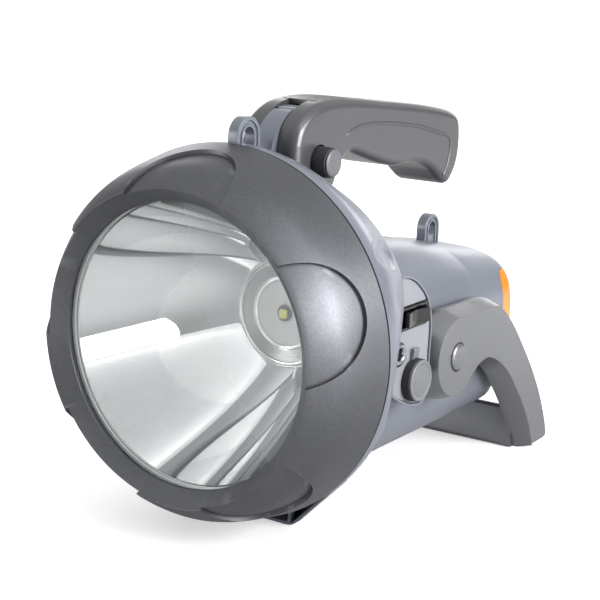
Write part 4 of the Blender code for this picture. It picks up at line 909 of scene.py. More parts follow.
@dataclass
class Optics:
    """Window, gasket, bowl, lamp cup, board and emitter."""

    window_thickness: float = 0.0030
    gasket_thickness: float = 0.0014
    gasket_width: float = 0.0020
    flange: float = 0.0020
    wall: float = 0.0015
    mouth: float = 0.0697
    throat: float = 0.0275
    throat_depth: float = 0.0870
    collar: float = 0.0030
    cup_inner: float = 0.0177
    cup_step: float = 0.0018
    cup_length: float = 0.0060
    bead: float = 0.0009
    board: float = 0.0016
    board_groove: Sequence[Point] = ((0.80, 0.0), (0.82, 0.0003), (0.88, 0.0003), (0.90, 0.0))
    emitter_radius: float = 0.0043
    emitter_height: float = 0.0011
    die: float = 0.0050
    die_height: float = 0.0012
    bowl_steps: int = 40
    bowl_spacing: float = 0.9
    steps: int = 128

    def bowl_line(self, front: float, offset: float) -> Line:
        """Draw the bowl's wall from its mouth to its throat."""
        mouth_depth = self.flange_front()
        scale = (self.mouth ** 2 - self.throat ** 2) / (self.throat_depth - mouth_depth)
        apex = self.throat_depth + self.throat ** 2 / scale
        line: Line = []
        for i in range(self.bowl_steps + 1):
            along = (i / self.bowl_steps) ** self.bowl_spacing
            depth = front + (self.throat_depth - front) * along
            line.append((math.sqrt(scale * (apex - depth)) + offset, depth))
        return line

    def flange_front(self) -> float:
        """Return the depth of the bowl's flange."""
        return LIP_THICKNESS + self.window_thickness + self.gasket_thickness + 3 * GAP

    def build(self) -> None:
        """Make the pieces in the lamp's mouth."""
        edge = SEAT_RADIUS - GAP
        front = LIP_THICKNESS + GAP
        back = front + self.window_thickness
        window = fillet(rectangle(0, edge, front, back), 0.0004, closed=False)
        piece("front_window", lathe(window, self.steps), "lamp_body", Finish.WINDOW,
              ["lens"])
        front = back + GAP
        back = front + self.gasket_thickness
        ring = fillet(rectangle(edge - self.gasket_width, edge, front, back), 0.0004)
        # The gasket's near-white colour is a painted highlight along the window's edge.
        piece("window_gasket", lathe(ring, self.steps), "lamp_body", Finish.SEAL_GLINT,
              ["lens_gasket"])
        self._bowl(edge)
        self._cup()

    def _bowl(self, edge: float) -> None:
        """Make the mirror bowl."""
        front = self.flange_front()
        inside = self.bowl_line(front, 0.0)
        outside = self.bowl_line(front + self.flange, self.wall)
        collar = self.throat_depth + self.collar
        profile = [(edge, front + self.flange), (edge, front)] + inside
        profile += [(self.throat, collar), (self.throat + self.wall, collar)] + outside[::-1]
        piece("mirror_bowl", lathe(profile, self.steps), "lamp_body", Finish.MIRROR,
              ["reflector"], sharp=50.0)

    def _cup(self) -> None:
        """Make the stepped cup with its board and emitter."""
        front, bead = self.throat_depth, self.bead
        back = front + self.cup_length
        collar = front + self.collar + GAP
        floor = front + self.cup_step
        rim, outside, inner = self.throat - RUN, self.throat + self.wall, self.cup_inner
        profile = [(rim, front), (rim, collar), (outside, collar), (outside, back),
                   (inner, back), (inner, floor)]
        profile += arc((inner + bead, floor - bead * 0.4), bead, 180, 0, 10)[1:]
        profile += [(inner + bead * 2.4, floor + bead * 0.1),
                    (rim - bead * 1.2, front + bead * 0.6),
                    (rim - bead * 0.9, front - bead * 0.3),
                    (rim - bead * 0.3, front - bead * 0.4)]
        piece("stepped_cup", lathe(profile, self.steps), "lamp_body", Finish.CUP,
              ["lamp_cup"], sharp=40.0)
        top = floor + GAP
        edge = inner - GAP
        line = [(0, top)] + [(edge * share, top + drop) for share, drop in self.board_groove]
        line += [(edge, top), (edge, top + self.board), (0, top + self.board)]
        piece("lamp_board", lathe(line, self.steps), "lamp_body", Finish.CUP_BOARD,
              ["led_board"])
        back = top - GAP
        front = back - self.emitter_height
        base = fillet(rectangle(0, self.emitter_radius, front, back), 0.0004, closed=False)
        piece("emitter_base", lathe(base, 48), "lamp_body", Finish.DARK, ["led_package"])
        half = self.die / 2
        outline = fillet(rectangle(-half, half, -half, half), half * 0.5, 5)
        back = front - GAP
        piece("emitter_die", prism(outline, back - self.die_height, back, Axis.OPTICAL),
              "lamp_body", Finish.PHOSPHOR, ["led_die"], edge=0.0004,
              segments=3)


@dataclass
class Housing:
    """Two housing halves with their lugs, foot and panel boss, and the tail window."""

    head_start: float = 0.0379
    head_length: float = 0.0965
    head_radius: float = 0.0940
    blend: float = 0.0140
    body_start: float = 0.0950
    body_rear: float = 0.2520
    top: float = 0.0308
    bottom: float = 0.0760
    centre_drop: float = 0.0245
    top_power: float = 2.7
    bottom_power: float = 5.5
    tail_round: float = 0.0060
    tail_steps: int = 7
    pocket_radius: float = 0.0284
    neck_radius: float = 0.0268
    neck_tooth: float = 0.0010
    neck_half: float = 0.0055
    neck_stem: float = 0.0150
    neck_front: Point = (15.0, 35.0)
    neck_rear: Point = (108.0, 186.0)
    neck_teeth: int = 9
    teeth_start: float = 38.0
    teeth_span: float = 68.0
    cheek_room: float = 0.0185
    eyelet_half: float = 0.0030
    eyelet_groove: float = 0.0011
    eyelet_shares: Sequence[float] = (0.46, 0.60, 0.78)
    eyelet_steps: int = 32
    foot_front: float = 0.0595
    foot_back: float = 0.0800
    foot_flat: float = 0.0275
    foot_top_half: float = 0.0590
    foot_top_drop: float = 0.0700
    foot_wall: float = 0.0014
    foot_web: float = 0.0254
    foot_rim: float = 0.0040
    foot_taper: float = 0.38
    foot_round: float = 0.004
    panel_rim: float = 0.0008
    panel_rim_width: float = 0.0014
    boss_radius: float = 0.0140
    tail_start: float = 0.2362
    tail_top: float = 0.0043
    tail_low: float = 0.0545
    tail_wall: float = 0.0022
    tail_skew: float = 0.0055
    tail_corner: float = 0.002
    flank_angle: float = 7.0
    flank_step: float = 0.0024
    flank_end: float = 0.0880
    flank_slope: float = 0.559
    flank_soft: float = 0.0024
    flank_facing: float = 0.3
    dimple_turn: float = 31.5
    dimple_middle: float = 0.0655
    dimple_half: float = 0.0225
    dimple_width: float = 0.0088
    dimple_depth: float = 0.0017
    dimple_edge: float = 0.0024
    dimple_span: float = 9.5
    dimple_steps: int = 30
    steps: int = 144
    rows: int = 150
    inner_steps: int = 56
    inner_rows: int = 34
    front_eyelet: float = 0.0113
    rear_eyelet: float = 0.2375
    front_lug: Sequence[float] = (0.0024, 0.0060, 0.0098)
    rear_lug: Sequence[float] = (0.0079, 0.0073, 0.0085)
    head_shares: Sequence[Point] = (
        (0.0, 1.0), (0.045, 0.999), (0.10, 0.988), (0.19, 0.955), (0.30, 0.903), (0.40, 0.854),
        (0.50, 0.807), (0.585, 0.760), (0.65, 0.718), (0.70, 0.684), (0.77, 0.630),
        (0.85, 0.555), (0.92, 0.455), (0.97, 0.330), (1.0, 0.2))
    top_shares: Sequence[Point] = (
        (0.0, 1.0), (0.24, 1.0), (0.375, 0.955), (0.55, 0.864), (0.686, 0.75), (0.85, 0.575),
        (1.0, 0.445))
    bottom_shares: Sequence[Point] = (
        (0.0, 1.0), (0.80, 1.0), (0.87, 0.975), (0.93, 0.925), (0.97, 0.865), (1.0, 0.79))
    width_shares: Sequence[Point] = ((0.0, 1.0), (0.92, 1.0), (1.0, 0.995))
    power_shares: Sequence[Point] = ((0.0, 1.0), (0.72, 1.0), (1.0, 1.30))

    def __post_init__(self) -> None:
        """Draw the tables of shares as smooth lines."""
        self.head_line = smooth_line(self.head_shares, 6)
        self.top_line = smooth_line(self.top_shares, 6)
        self.bottom_line = smooth_line(self.bottom_shares, 6)

    def share(self, depth: float) -> float:
        """Return how far along the body a depth lies."""
        return (depth - self.body_start) / (self.body_rear - self.body_start)

    def head_reach(self, depth: float) -> float:
        """Return the radius of the bulging head, or zero behind it."""
        along = (depth - self.head_start) / self.head_length
        return 0.0 if along > 1 else self.head_radius * read_shares(self.head_line, along)

    def body_reach(self, depth: float, turn: float, inset: float) -> float:
        """Return the distance from the optical axis to the body's wall."""
        along = self.share(depth)
        half = BODY_HALF * read_shares(self.width_shares, along) - inset
        middle = -self.centre_drop
        top = self.top * read_shares(self.top_line, along) - middle - inset
        bottom = self.bottom * read_shares(self.bottom_line, along) + middle - inset
        upper = self.top_power * read_shares(self.power_shares, along)
        low, high = 0.0, 2 * (self.bottom + BODY_HALF)
        for _ in range(26):
            test = (low + high) / 2
            across = abs(test * math.cos(turn)) / half
            rise = test * math.sin(turn) - middle
            power = upper if rise > 0 else self.bottom_power
            size = across ** power + (abs(rise) / (top if rise > 0 else bottom)) ** power
            low, high = (test, high) if size < 1 else (low, test)
        return (low + high) / 2

    def dimple(self, depth: float, turn: float) -> float:
        """Return how deep the two oval finger dimples are at one place."""
        angle = math.degrees(turn) % 360
        off = min(abs(angle - self.dimple_turn), abs(angle - 180 + self.dimple_turn))
        across = math.radians(off) * self.head_reach(depth) / self.dimple_width
        along = (depth - self.dimple_middle) / self.dimple_half
        size = math.hypot(across, along)
        if size >= 1:
            return 0.0
        inward = (1 - size) * self.dimple_width / self.dimple_edge
        share = min(1.0, inward)
        return self.dimple_depth * share * share * (3 - 2 * share)

    def flattened(self, radius: float, depth: float, turn: float, inset: float) -> float:
        """Hold a radius inside the flat that clears the control panel.

        Args:
            radius: Distance of the skin from the optical axis.
            depth: Distance behind the lamp's front.
            turn: Angle round the optical axis.
            inset: How far the wanted surface lies inside the skin.

        Returns:
            The radius, softly held back where the flat cuts it.
        """
        facing = math.cos(turn + math.radians(self.flank_angle))
        if facing < self.flank_facing:
            return radius
        reach = PANEL_FACE + self.flank_step - inset
        reach += max(0.0, self.flank_end - depth) * self.flank_slope
        limit = reach / facing
        near = max(self.flank_soft - abs(limit - radius), 0) / self.flank_soft
        return min(radius, limit) - near ** 2 * self.flank_soft / 4

    def turns(self, steps: int) -> list[float]:
        """Return the angles of a ring's points, close together at the dimples."""
        turns = [360 * (number + 0.5) / steps - 90 for number in range(steps)]
        if steps < self.steps:
            return [math.radians(turn) for turn in turns]
        half = self.dimple_span
        for middle in (self.dimple_turn, 180 - self.dimple_turn):
            turns = [turn for turn in turns if abs(turn - middle) > half]
            turns += [middle - half + 2 * half * k / self.dimple_steps
                      for k in range(self.dimple_steps + 1)]
        return [math.radians(turn) for turn in sorted(turns)]

    def section(self, depth: float, steps: int, inset: float) -> list[Vector]:
        """Draw one ring of the housing, head and body smoothly blended."""
        ring = []
        head = max(self.head_reach(depth) - inset, 0)
        for turn in self.turns(steps):
            body = self.body_reach(depth, turn, inset)
            near = max(self.blend - abs(body - head), 0) / self.blend
            radius = max(body, head) + near ** 2 * self.blend / 4
            if depth < self.body_start:
                length = self.body_start - self.head_start
                keep = min(1, 2 * (self.body_start - depth) / length)
                radius = radius * (1 - keep) + head * keep
            radius = self.flattened(radius, depth, turn, inset)
            if not inset:
                radius -= self.dimple(depth, turn)
            ring.append(Vector((radius * math.cos(turn), depth, radius * math.sin(turn))))
        return ring

    def skin(self, steps: int, rows: int, inset: float, start: float, end: float) -> Draft:
        """Draw the housing's skin, or a shape inset from it."""
        last = end - self.tail_round
        depths = [start + (last - start) * i / rows for i in range(rows + 1)]
        rings = [self.section(depth, steps, inset) for depth in depths]
        middle = -self.centre_drop
        final = rings[-1]
        for number in range(1, self.tail_steps + 1):
            share = math.sin(math.pi / 2 * number / self.tail_steps)
            pull = self.tail_round * (1 - math.sqrt(max(0.0, 1 - share ** 2)))
            ring = []
            for spot in final:
                size = math.hypot(spot.x, spot.z - middle)
                keep = (size - pull) / size
                ring.append(Vector((spot.x * keep, end - self.tail_round * (1 - share),
                                    middle + (spot.z - middle) * keep)))
            rings.append(ring)
        return loft(rings)

    def neck(self) -> Draft:
        """Draw the web with its detent teeth."""
        depth, rise = HANDLE_PIVOT
        stem = self.neck_stem
        floor = self.pocket_radius + BODY_WALL / 2
        low = self.neck_radius - self.neck_tooth
        outline = [(depth + stem, rise - floor), (depth + stem, rise)]
        outline += arc(HANDLE_PIVOT, low, *self.neck_front, 5)
        for number in range(self.neck_teeth):
            start = self.teeth_start + self.teeth_span * number / self.neck_teeth
            outline += arc(HANDLE_PIVOT, self.neck_radius, start, start + 2, 1)
            outline += arc(HANDLE_PIVOT, low, start + 3, start + 5, 1)
        outline += arc(HANDLE_PIVOT, self.neck_radius, *self.neck_rear, 26)
        outline += [(depth - stem, rise - floor)]
        return prism(outline, -self.neck_half, self.neck_half)

    def lug(self, depth: float, skin: float, sizes: Sequence[float]) -> Draft:
        """Draw a lashing lug: a grooved bar bent into an arch, with a web.

        Args:
            depth: Its place along the lamp.
            skin: Height of the housing's skin there.
            sizes: Rise of the arch, drop of the foot below the skin, and outer radius.

        Returns:
            A closed draft.
        """
        rise, drop, radius = sizes
        arch, foot = skin + rise, skin - drop
        half, deep = self.eyelet_half, self.eyelet_half - self.eyelet_groove
        hole, lip, groove = (radius * share for share in self.eyelet_shares)
        side = ((hole, half), (lip, half), (lip, deep), (groove, deep), (groove, half),
                (radius, half))
        profile = fillet(side + tuple((out, -across) for out, across in side[::-1]), 0.0006)
        rings = [[Vector((across, depth + out, foot)) for out, across in profile]]
        for number in range(self.eyelet_steps + 1):
            turn = math.pi * number / self.eyelet_steps
            rings.append([Vector((across, depth + out * math.cos(turn),
                                  arch + out * math.sin(turn))) for out, across in profile])
        rings.append([Vector((across, depth - out, foot)) for out, across in profile])
        reach = (hole + lip) / 2
        web = block((-deep, deep), (depth - reach, depth + reach), (foot, arch - hole))
        return shaped(loft(rings), (Cut.JOIN, web))

    def narrowed(self, outline: Sequence[Point], low: float, high: float) -> Draft:
        """Draw an (x, height) outline along the optical axis, narrower behind the foot's rim.

        Args:
            outline: Corners of the outline.
            low: Start along the axis.
            high: End along the axis.

        Returns:
            A closed draft.
        """
        knee = self.foot_front + self.foot_rim
        share = (high - knee) / (self.foot_back - knee)
        rings = []
        for depth, width in ((low, 1.0), (knee, 1.0), (high, 1 - share * self.foot_taper)):
            rings.append([Vector((across * width, depth, height)) for across, height in outline])
        return loft(rings)

    def foot(self, trim: Draft) -> Draft:
        """Draw the hollow front foot, cut to the head."""
        wall, half, web = self.foot_wall, self.foot_top_half, self.foot_web
        floor, top = -AXIS_HEIGHT, -self.foot_top_drop
        low, roof = floor + wall, top - wall
        outline = fillet(((self.foot_flat, floor), (half, top), (-half, top),
                          (-self.foot_flat, floor)), self.foot_round, 5)
        edge, inner, far = web + wall / 2, web - wall / 2, half - wall * 2
        knee = self.foot_flat - wall * math.tan(math.pi / 8)
        hollows = [fillet(((inner, low), (inner, roof), (-inner, roof), (-inner, low)),
                          self.foot_round / 2)]
        for side, _ in SIDES:
            hollows.append(fillet(((side * edge, low), (side * knee, low), (side * far, roof),
                                   (side * edge, roof)), self.foot_round / 5))
        tools = [self.narrowed(hollow, self.foot_front - OVERRUN, self.foot_back - wall)
                 for hollow in hollows]
        return shaped(self.narrowed(outline, self.foot_front, self.foot_back),
                      (Cut.REMOVE, joined(*tools)), (Cut.REMOVE, trim))

    def tail_block(self, grow: float) -> Draft:
        """Draw the block that marks out the tail window."""
        top, low = self.tail_top + grow, -self.tail_low - grow
        start = self.tail_start - grow
        far = self.body_rear + OVERRUN
        outline = ((start, low), (far, low), (far, top), (start + self.tail_skew, top),
                   (start + self.tail_skew / 3, top - self.tail_skew))
        span = BODY_HALF + OVERRUN
        return prism(fillet(outline, self.tail_corner, 4), -span, span)

    def shell(self, panel: "Panel", trim: Draft) -> Draft:
        """Draw the whole housing in one piece."""
        cheek, head = self.cheek_room, self.head_radius
        back, far = PANEL_FACE - PANEL_PLATE, head + OVERRUN
        rim = panel.outline(self.panel_rim_width)
        cavity = shaped(
            self.skin(self.inner_steps, self.inner_rows, BODY_WALL, self.head_start - OVERRUN,
                      self.body_rear - BODY_WALL),
            (Cut.REMOVE, disc(HANDLE_PIVOT, self.pocket_radius + BODY_WALL, -cheek - BODY_WALL,
                              cheek + BODY_WALL)),
            (Cut.REMOVE, prism(rim, back - BODY_WALL, far)))
        boss = shaped(prism(rim, BODY_HALF / 2, PANEL_FACE + self.panel_rim),
                      (Cut.REMOVE, trim.copy()))
        deep = BODY_HALF - BODY_WALL
        rear_top = self.top * read_shares(self.top_shares, self.share(self.rear_eyelet))
        tail_room = block((BODY_WALL * 4 - BODY_HALF, BODY_HALF - BODY_WALL * 4),
                          (self.tail_start - BODY_WALL * 3, self.body_rear),
                          (BODY_WALL * 2 - self.tail_low, self.tail_top - BODY_WALL * 2))
        return shaped(
            self.skin(self.steps, self.rows, 0.0, self.head_start, self.body_rear),
            (Cut.REMOVE, cavity),
            (Cut.REMOVE, disc(HANDLE_PIVOT, self.pocket_radius, -cheek, cheek, 96)),
            (Cut.JOIN, self.neck()),
            (Cut.REMOVE, disc(HANDLE_PIVOT, HANDLE_PIN + PIN_FIT, -OVERRUN * 2, OVERRUN * 2,
                              32)),
            (Cut.JOIN, self.foot(trim)),
            (Cut.JOIN, both_sides(STAND_PIVOT, self.boss_radius, deep, STAND_INNER - RUN)),
            (Cut.REMOVE, both_sides(STAND_PIVOT, STAND_PIN + GAP, deep - OVERRUN,
                                    STAND_INNER + OVERRUN, 32)),
            (Cut.JOIN, self.lug(self.head_start + self.front_eyelet, head, self.front_lug)),
            (Cut.JOIN, self.lug(self.rear_eyelet, rear_top, self.rear_lug)),
            (Cut.JOIN, boss),
            (Cut.REMOVE, prism(panel.outline(GAP), back, far)),
            (Cut.REMOVE, panel.wells()),
            (Cut.REMOVE, self.tail_block(GAP)),
            (Cut.REMOVE, tail_room))

    def build(self, panel: "Panel") -> None:
        """Make both housing halves and the tail window."""
        trim = self.skin(self.inner_steps, self.inner_rows, BODY_WALL / 2,
                         self.head_start - OVERRUN, self.body_rear - BODY_WALL)
        whole = self.shell(panel, trim)
        span = self.head_radius + OVERRUN
        for side, name in SIDES:
            room = block(sorted((side * SPLIT, side * span)), (0.0, self.body_rear + OVERRUN),
                         (-AXIS_HEIGHT - OVERRUN, AXIS_HEIGHT + OVERRUN * 3))
            piece("housing_half_" + name, shaped(whole.copy(), (Cut.KEEP, room)), "lamp_body",
                  Finish.SLATE, ["housing_" + name], sharp=30.0,
                  edge=0.0004, edge_angle=38.0)
        whole.free()
        start = self.body_start * 2
        shell = self.skin(self.steps, 40, 0.0, start, self.body_rear)
        hollow = self.skin(self.inner_steps, 20, self.tail_wall, start,
                           self.body_rear - self.tail_wall)
        window = shaped(shell, (Cut.KEEP, self.tail_block(0.0)), (Cut.REMOVE, hollow))
        piece("tail_window", window, "lamp_body", Finish.AMBER, ["tail_lens"],
              sharp=30.0, edge=0.0004, edge_angle=38.0)


@dataclass
class Panel:
    """Control panel with its switch, jack, charging socket and cap."""

    front: float = 0.0798
    length: float = 0.0438
    height: float = 0.0700
    top: float = 0.0270
    switch_shares: Point = (0.5753, 0.300)
    jack_shares: Point = (0.290, 0.550)
    socket_shares: Point = (0.6324, 0.7786)
    switch_half: Point = (0.0140, 0.0062)
    switch_frame: float = 0.0016
    switch_rise: float = 0.0012
    switch_body: float = 0.0070
    rocker_rise: float = 0.0034
    rocker_angle: float = 9.0
    rocker_dip: float = 0.65
    rocker_bow: Point = (0.55, 0.45)
    rocker_toe: float = 0.55
    jack_radius: float = 0.0058
    jack_hole: float = 0.0030
    jack_rise: float = 0.0016
    jack_body: float = 0.0090
    jack_floor: float = 0.0024
    socket_radius: float = 0.0088
    socket_rise: float = 0.0032
    socket_hole: float = 0.0050
    socket_body: float = 0.0120
    well_room: float = 0.0026
    cap_radius: float = 0.0112
    cap_height: float = 0.0056
    cap_wall: float = 0.0014
    ear_half: float = 0.0028
    ear_length: float = 0.0046
    hinge_radius: float = 0.0011
    inlay_depth: float = 0.0011
    inlay_shares: Sequence[Sequence[float]] = (
        (1.0, 0.0, 0.0004), (1.0, 0.0005, 0.0), (0.84, 0.0, 0.0), (0.79, 0.0, 0.0003),
        (0.74, 0.0, 0.0001), (0.0, 0.0, 0.0001))
    shares: Sequence[Point] = (
        (0.02, 0.10), (0.20, 0.0), (0.42, 0.0), (0.62, 0.05), (0.86, 0.17), (0.97, 0.30),
        (1.0, 0.44), (0.98, 0.62), (0.975, 0.86), (0.93, 0.955), (0.80, 0.985), (0.60, 0.96),
        (0.36, 0.90), (0.10, 0.80), (0.0, 0.66), (0.0, 0.28))

    def spot(self, shares: Point) -> Point:
        """Return the (depth, height) of a place on the panel."""
        return (self.front + self.length * shares[0], self.top - self.height * shares[1])

    def outline(self, grow: float) -> Line:
        """Draw the panel's rounded outline, grown by a margin."""
        corners = [self.spot(pair) for pair in self.shares]
        return offset_line(fillet(corners, 0.006, 4, least=8.0), grow)

    def wells(self) -> Draft:
        """Draw the holes for the bodies of switch, jack and socket."""
        deep = PANEL_FACE - PANEL_PLATE - self.socket_body - self.well_room
        top = PANEL_FACE + OVERRUN
        depth, rise = self.spot(self.switch_shares)
        long_half, high_half = self.switch_half
        switch = block((deep, top), (depth - long_half, depth + long_half),
                       (rise - high_half, rise + high_half))
        jack = disc(self.spot(self.jack_shares), self.jack_radius - GAP, deep, top, 48)
        socket = disc(self.spot(self.socket_shares), self.socket_radius + GAP, deep, top, 48)
        return joined(switch, jack, socket)

    def build(self) -> None:
        """Make every piece of the panel."""
        low = PANEL_FACE - PANEL_PLATE + GAP
        plate = shaped(prism(self.outline(0.0), low, PANEL_FACE), (Cut.REMOVE, self.wells()))
        piece("panel_plate", plate, "lamp_body", Finish.PANEL, ["control_panel"],
              edge=0.00035, edge_angle=50.0)
        self._switch()
        self._jack()
        self._socket()

    def _switch(self) -> None:
        """Make the switch frame and its saddle-shaped rocker."""
        depth, rise = self.spot(self.switch_shares)
        low, top = PANEL_FACE - self.switch_body, PANEL_FACE + self.switch_rise
        long, high = self.switch_half[0] - GAP, self.switch_half[1] - GAP
        wall = self.switch_frame
        outline = fillet(rectangle(depth - long, depth + long, rise - high, rise + high),
                         0.0012, 4)
        well = block((low + wall, top + OVERRUN), (depth - long + wall, depth + long - wall),
                     (rise - high + wall, rise + high - wall))
        piece("switch_surround", shaped(prism(outline, low, top), (Cut.REMOVE, well)),
              "lamp_body", Finish.GLOSS, ["switch_housing"], edge=0.0003)
        axis_x = PANEL_FACE - wall
        half, high = long - wall - RUN, high - wall - RUN
        crest = top + self.rocker_rise - axis_x
        saddle = crest - self.rocker_rise * self.rocker_dip
        out, down = self.rocker_bow
        flank = crest - (crest - saddle) * down
        lean = math.sin(math.radians(self.rocker_angle))
        shoulder = half - crest * lean
        reach = math.sqrt(half ** 2 - crest ** 2 * lean ** 2) - crest * lean / 2
        toe = reach * self.rocker_toe
        bow = smooth_line(((crest, -shoulder), (flank, -shoulder * out), (saddle, 0.0),
                           (flank, shoulder * out), (crest, shoulder)), 6)
        outline = [(RUN - wall, -toe), (RUN, -shoulder)] + bow
        outline += [(RUN, shoulder), (RUN - wall, toe)]
        rocker = extruded([(axis_x + x, depth + y, rise - high)
                           for x, y in fillet(outline, 0.0007, 3, least=30.0)],
                          (0, 0, 2 * high))
        piece("switch_rocker", rocker, "mode_rocker", Finish.GLOSS, ["mode_rocker"],
              edge=0.0005, segments=3, edge_angle=50.0)

    def _jack(self) -> None:
        """Make the bright ring and its dark centre."""
        centre = self.spot(self.jack_shares)
        low, base, top = PANEL_FACE - self.jack_body, PANEL_FACE + GAP, self.jack_rise
        outer, inner = self.jack_radius + RUN, self.jack_hole
        neck = outer - 2 * RUN
        ring = fillet(((inner, low), (neck, low), (neck, base), (outer, base),
                       (outer, PANEL_FACE + top * 0.5), (neck, PANEL_FACE + top),
                       (inner + RUN, PANEL_FACE + top), (inner, base)), 0.0005)
        piece("jack_ring", lathe(ring, 64, Axis.ACROSS, centre), "lamp_body",
              Finish.CHROME, ["charge_jack"], sharp=60.0)
        sunk, floor = PANEL_FACE - top, PANEL_FACE - self.jack_floor
        pin = fillet(((0, low), (inner - GAP, low), (inner - GAP, sunk), (inner * 0.5, sunk),
                      (inner * 0.4, floor), (0, floor)), 0.0003, closed=False)
        piece("jack_core", lathe(pin, 48, Axis.ACROSS, centre), "lamp_body", Finish.DARK,
              ["charge_indicator"])

    def _socket(self) -> None:
        """Make the charging socket and the cap that swings off it."""
        centre = self.spot(self.socket_shares)
        low, mid = PANEL_FACE - self.socket_body, PANEL_FACE - self.socket_body / 2
        top = PANEL_FACE + self.socket_rise
        tube = fillet(((0, low), (self.socket_radius, low), (self.socket_radius, top),
                       (self.socket_hole, top), (self.socket_hole, mid), (0, mid)), 0.0005,
                      closed=False)
        piece("socket_barrel", lathe(tube, 64, Axis.ACROSS, centre), "lamp_body",
              Finish.DARK, ["charge_socket"])
        base = PANEL_FACE + GAP
        roof = base + self.cap_height
        radius, inner = self.cap_radius, self.cap_radius - self.cap_wall
        room = base + self.socket_rise + RUN
        seat = roof - self.inlay_depth
        cup = fillet(((0, seat), (radius - 0.0006, seat), (radius, seat - 0.0005),
                      (radius, base), (inner, base), (inner, room), (0, room)), 0.0003, 3,
                     closed=False)
        piece("socket_cover", lathe(cup, 72, Axis.ACROSS, centre), "socket_cap",
              Finish.RUBBER, ["socket_cap"], edge=0.0002)
        knuckle, drop = self.hinge_radius, -self.ear_length - self.cap_wall / 2
        ear = ((base, drop), (base + knuckle, drop), (base + 2 * knuckle, 0),
               (base + knuckle, knuckle), (base, 0))
        hinge = radius + self.ear_length
        strap = extruded([(x, centre[0] - self.ear_half, centre[1] + hinge + z)
                          for x, z in fillet(ear, 0.0005, 3)], (0, 2 * self.ear_half, 0))
        # The strap and the inlay below wear a painted-light grey: the lit face of the black
        # rubber cap.
        piece("socket_cover_strap", strap, "socket_cap", Finish.CAP_PAINTED_LIGHT,
              edge=0.0002)
        wide = radius - 0.0005
        inlay = [(0, seat), (wide, seat)]
        inlay += [(wide * share - step, roof - drop) for share, step, drop in self.inlay_shares]
        piece("socket_cover_lit_inlay", lathe(inlay, 72, Axis.ACROSS, centre), "socket_cap",
              Finish.CAP_PAINTED_LIGHT)


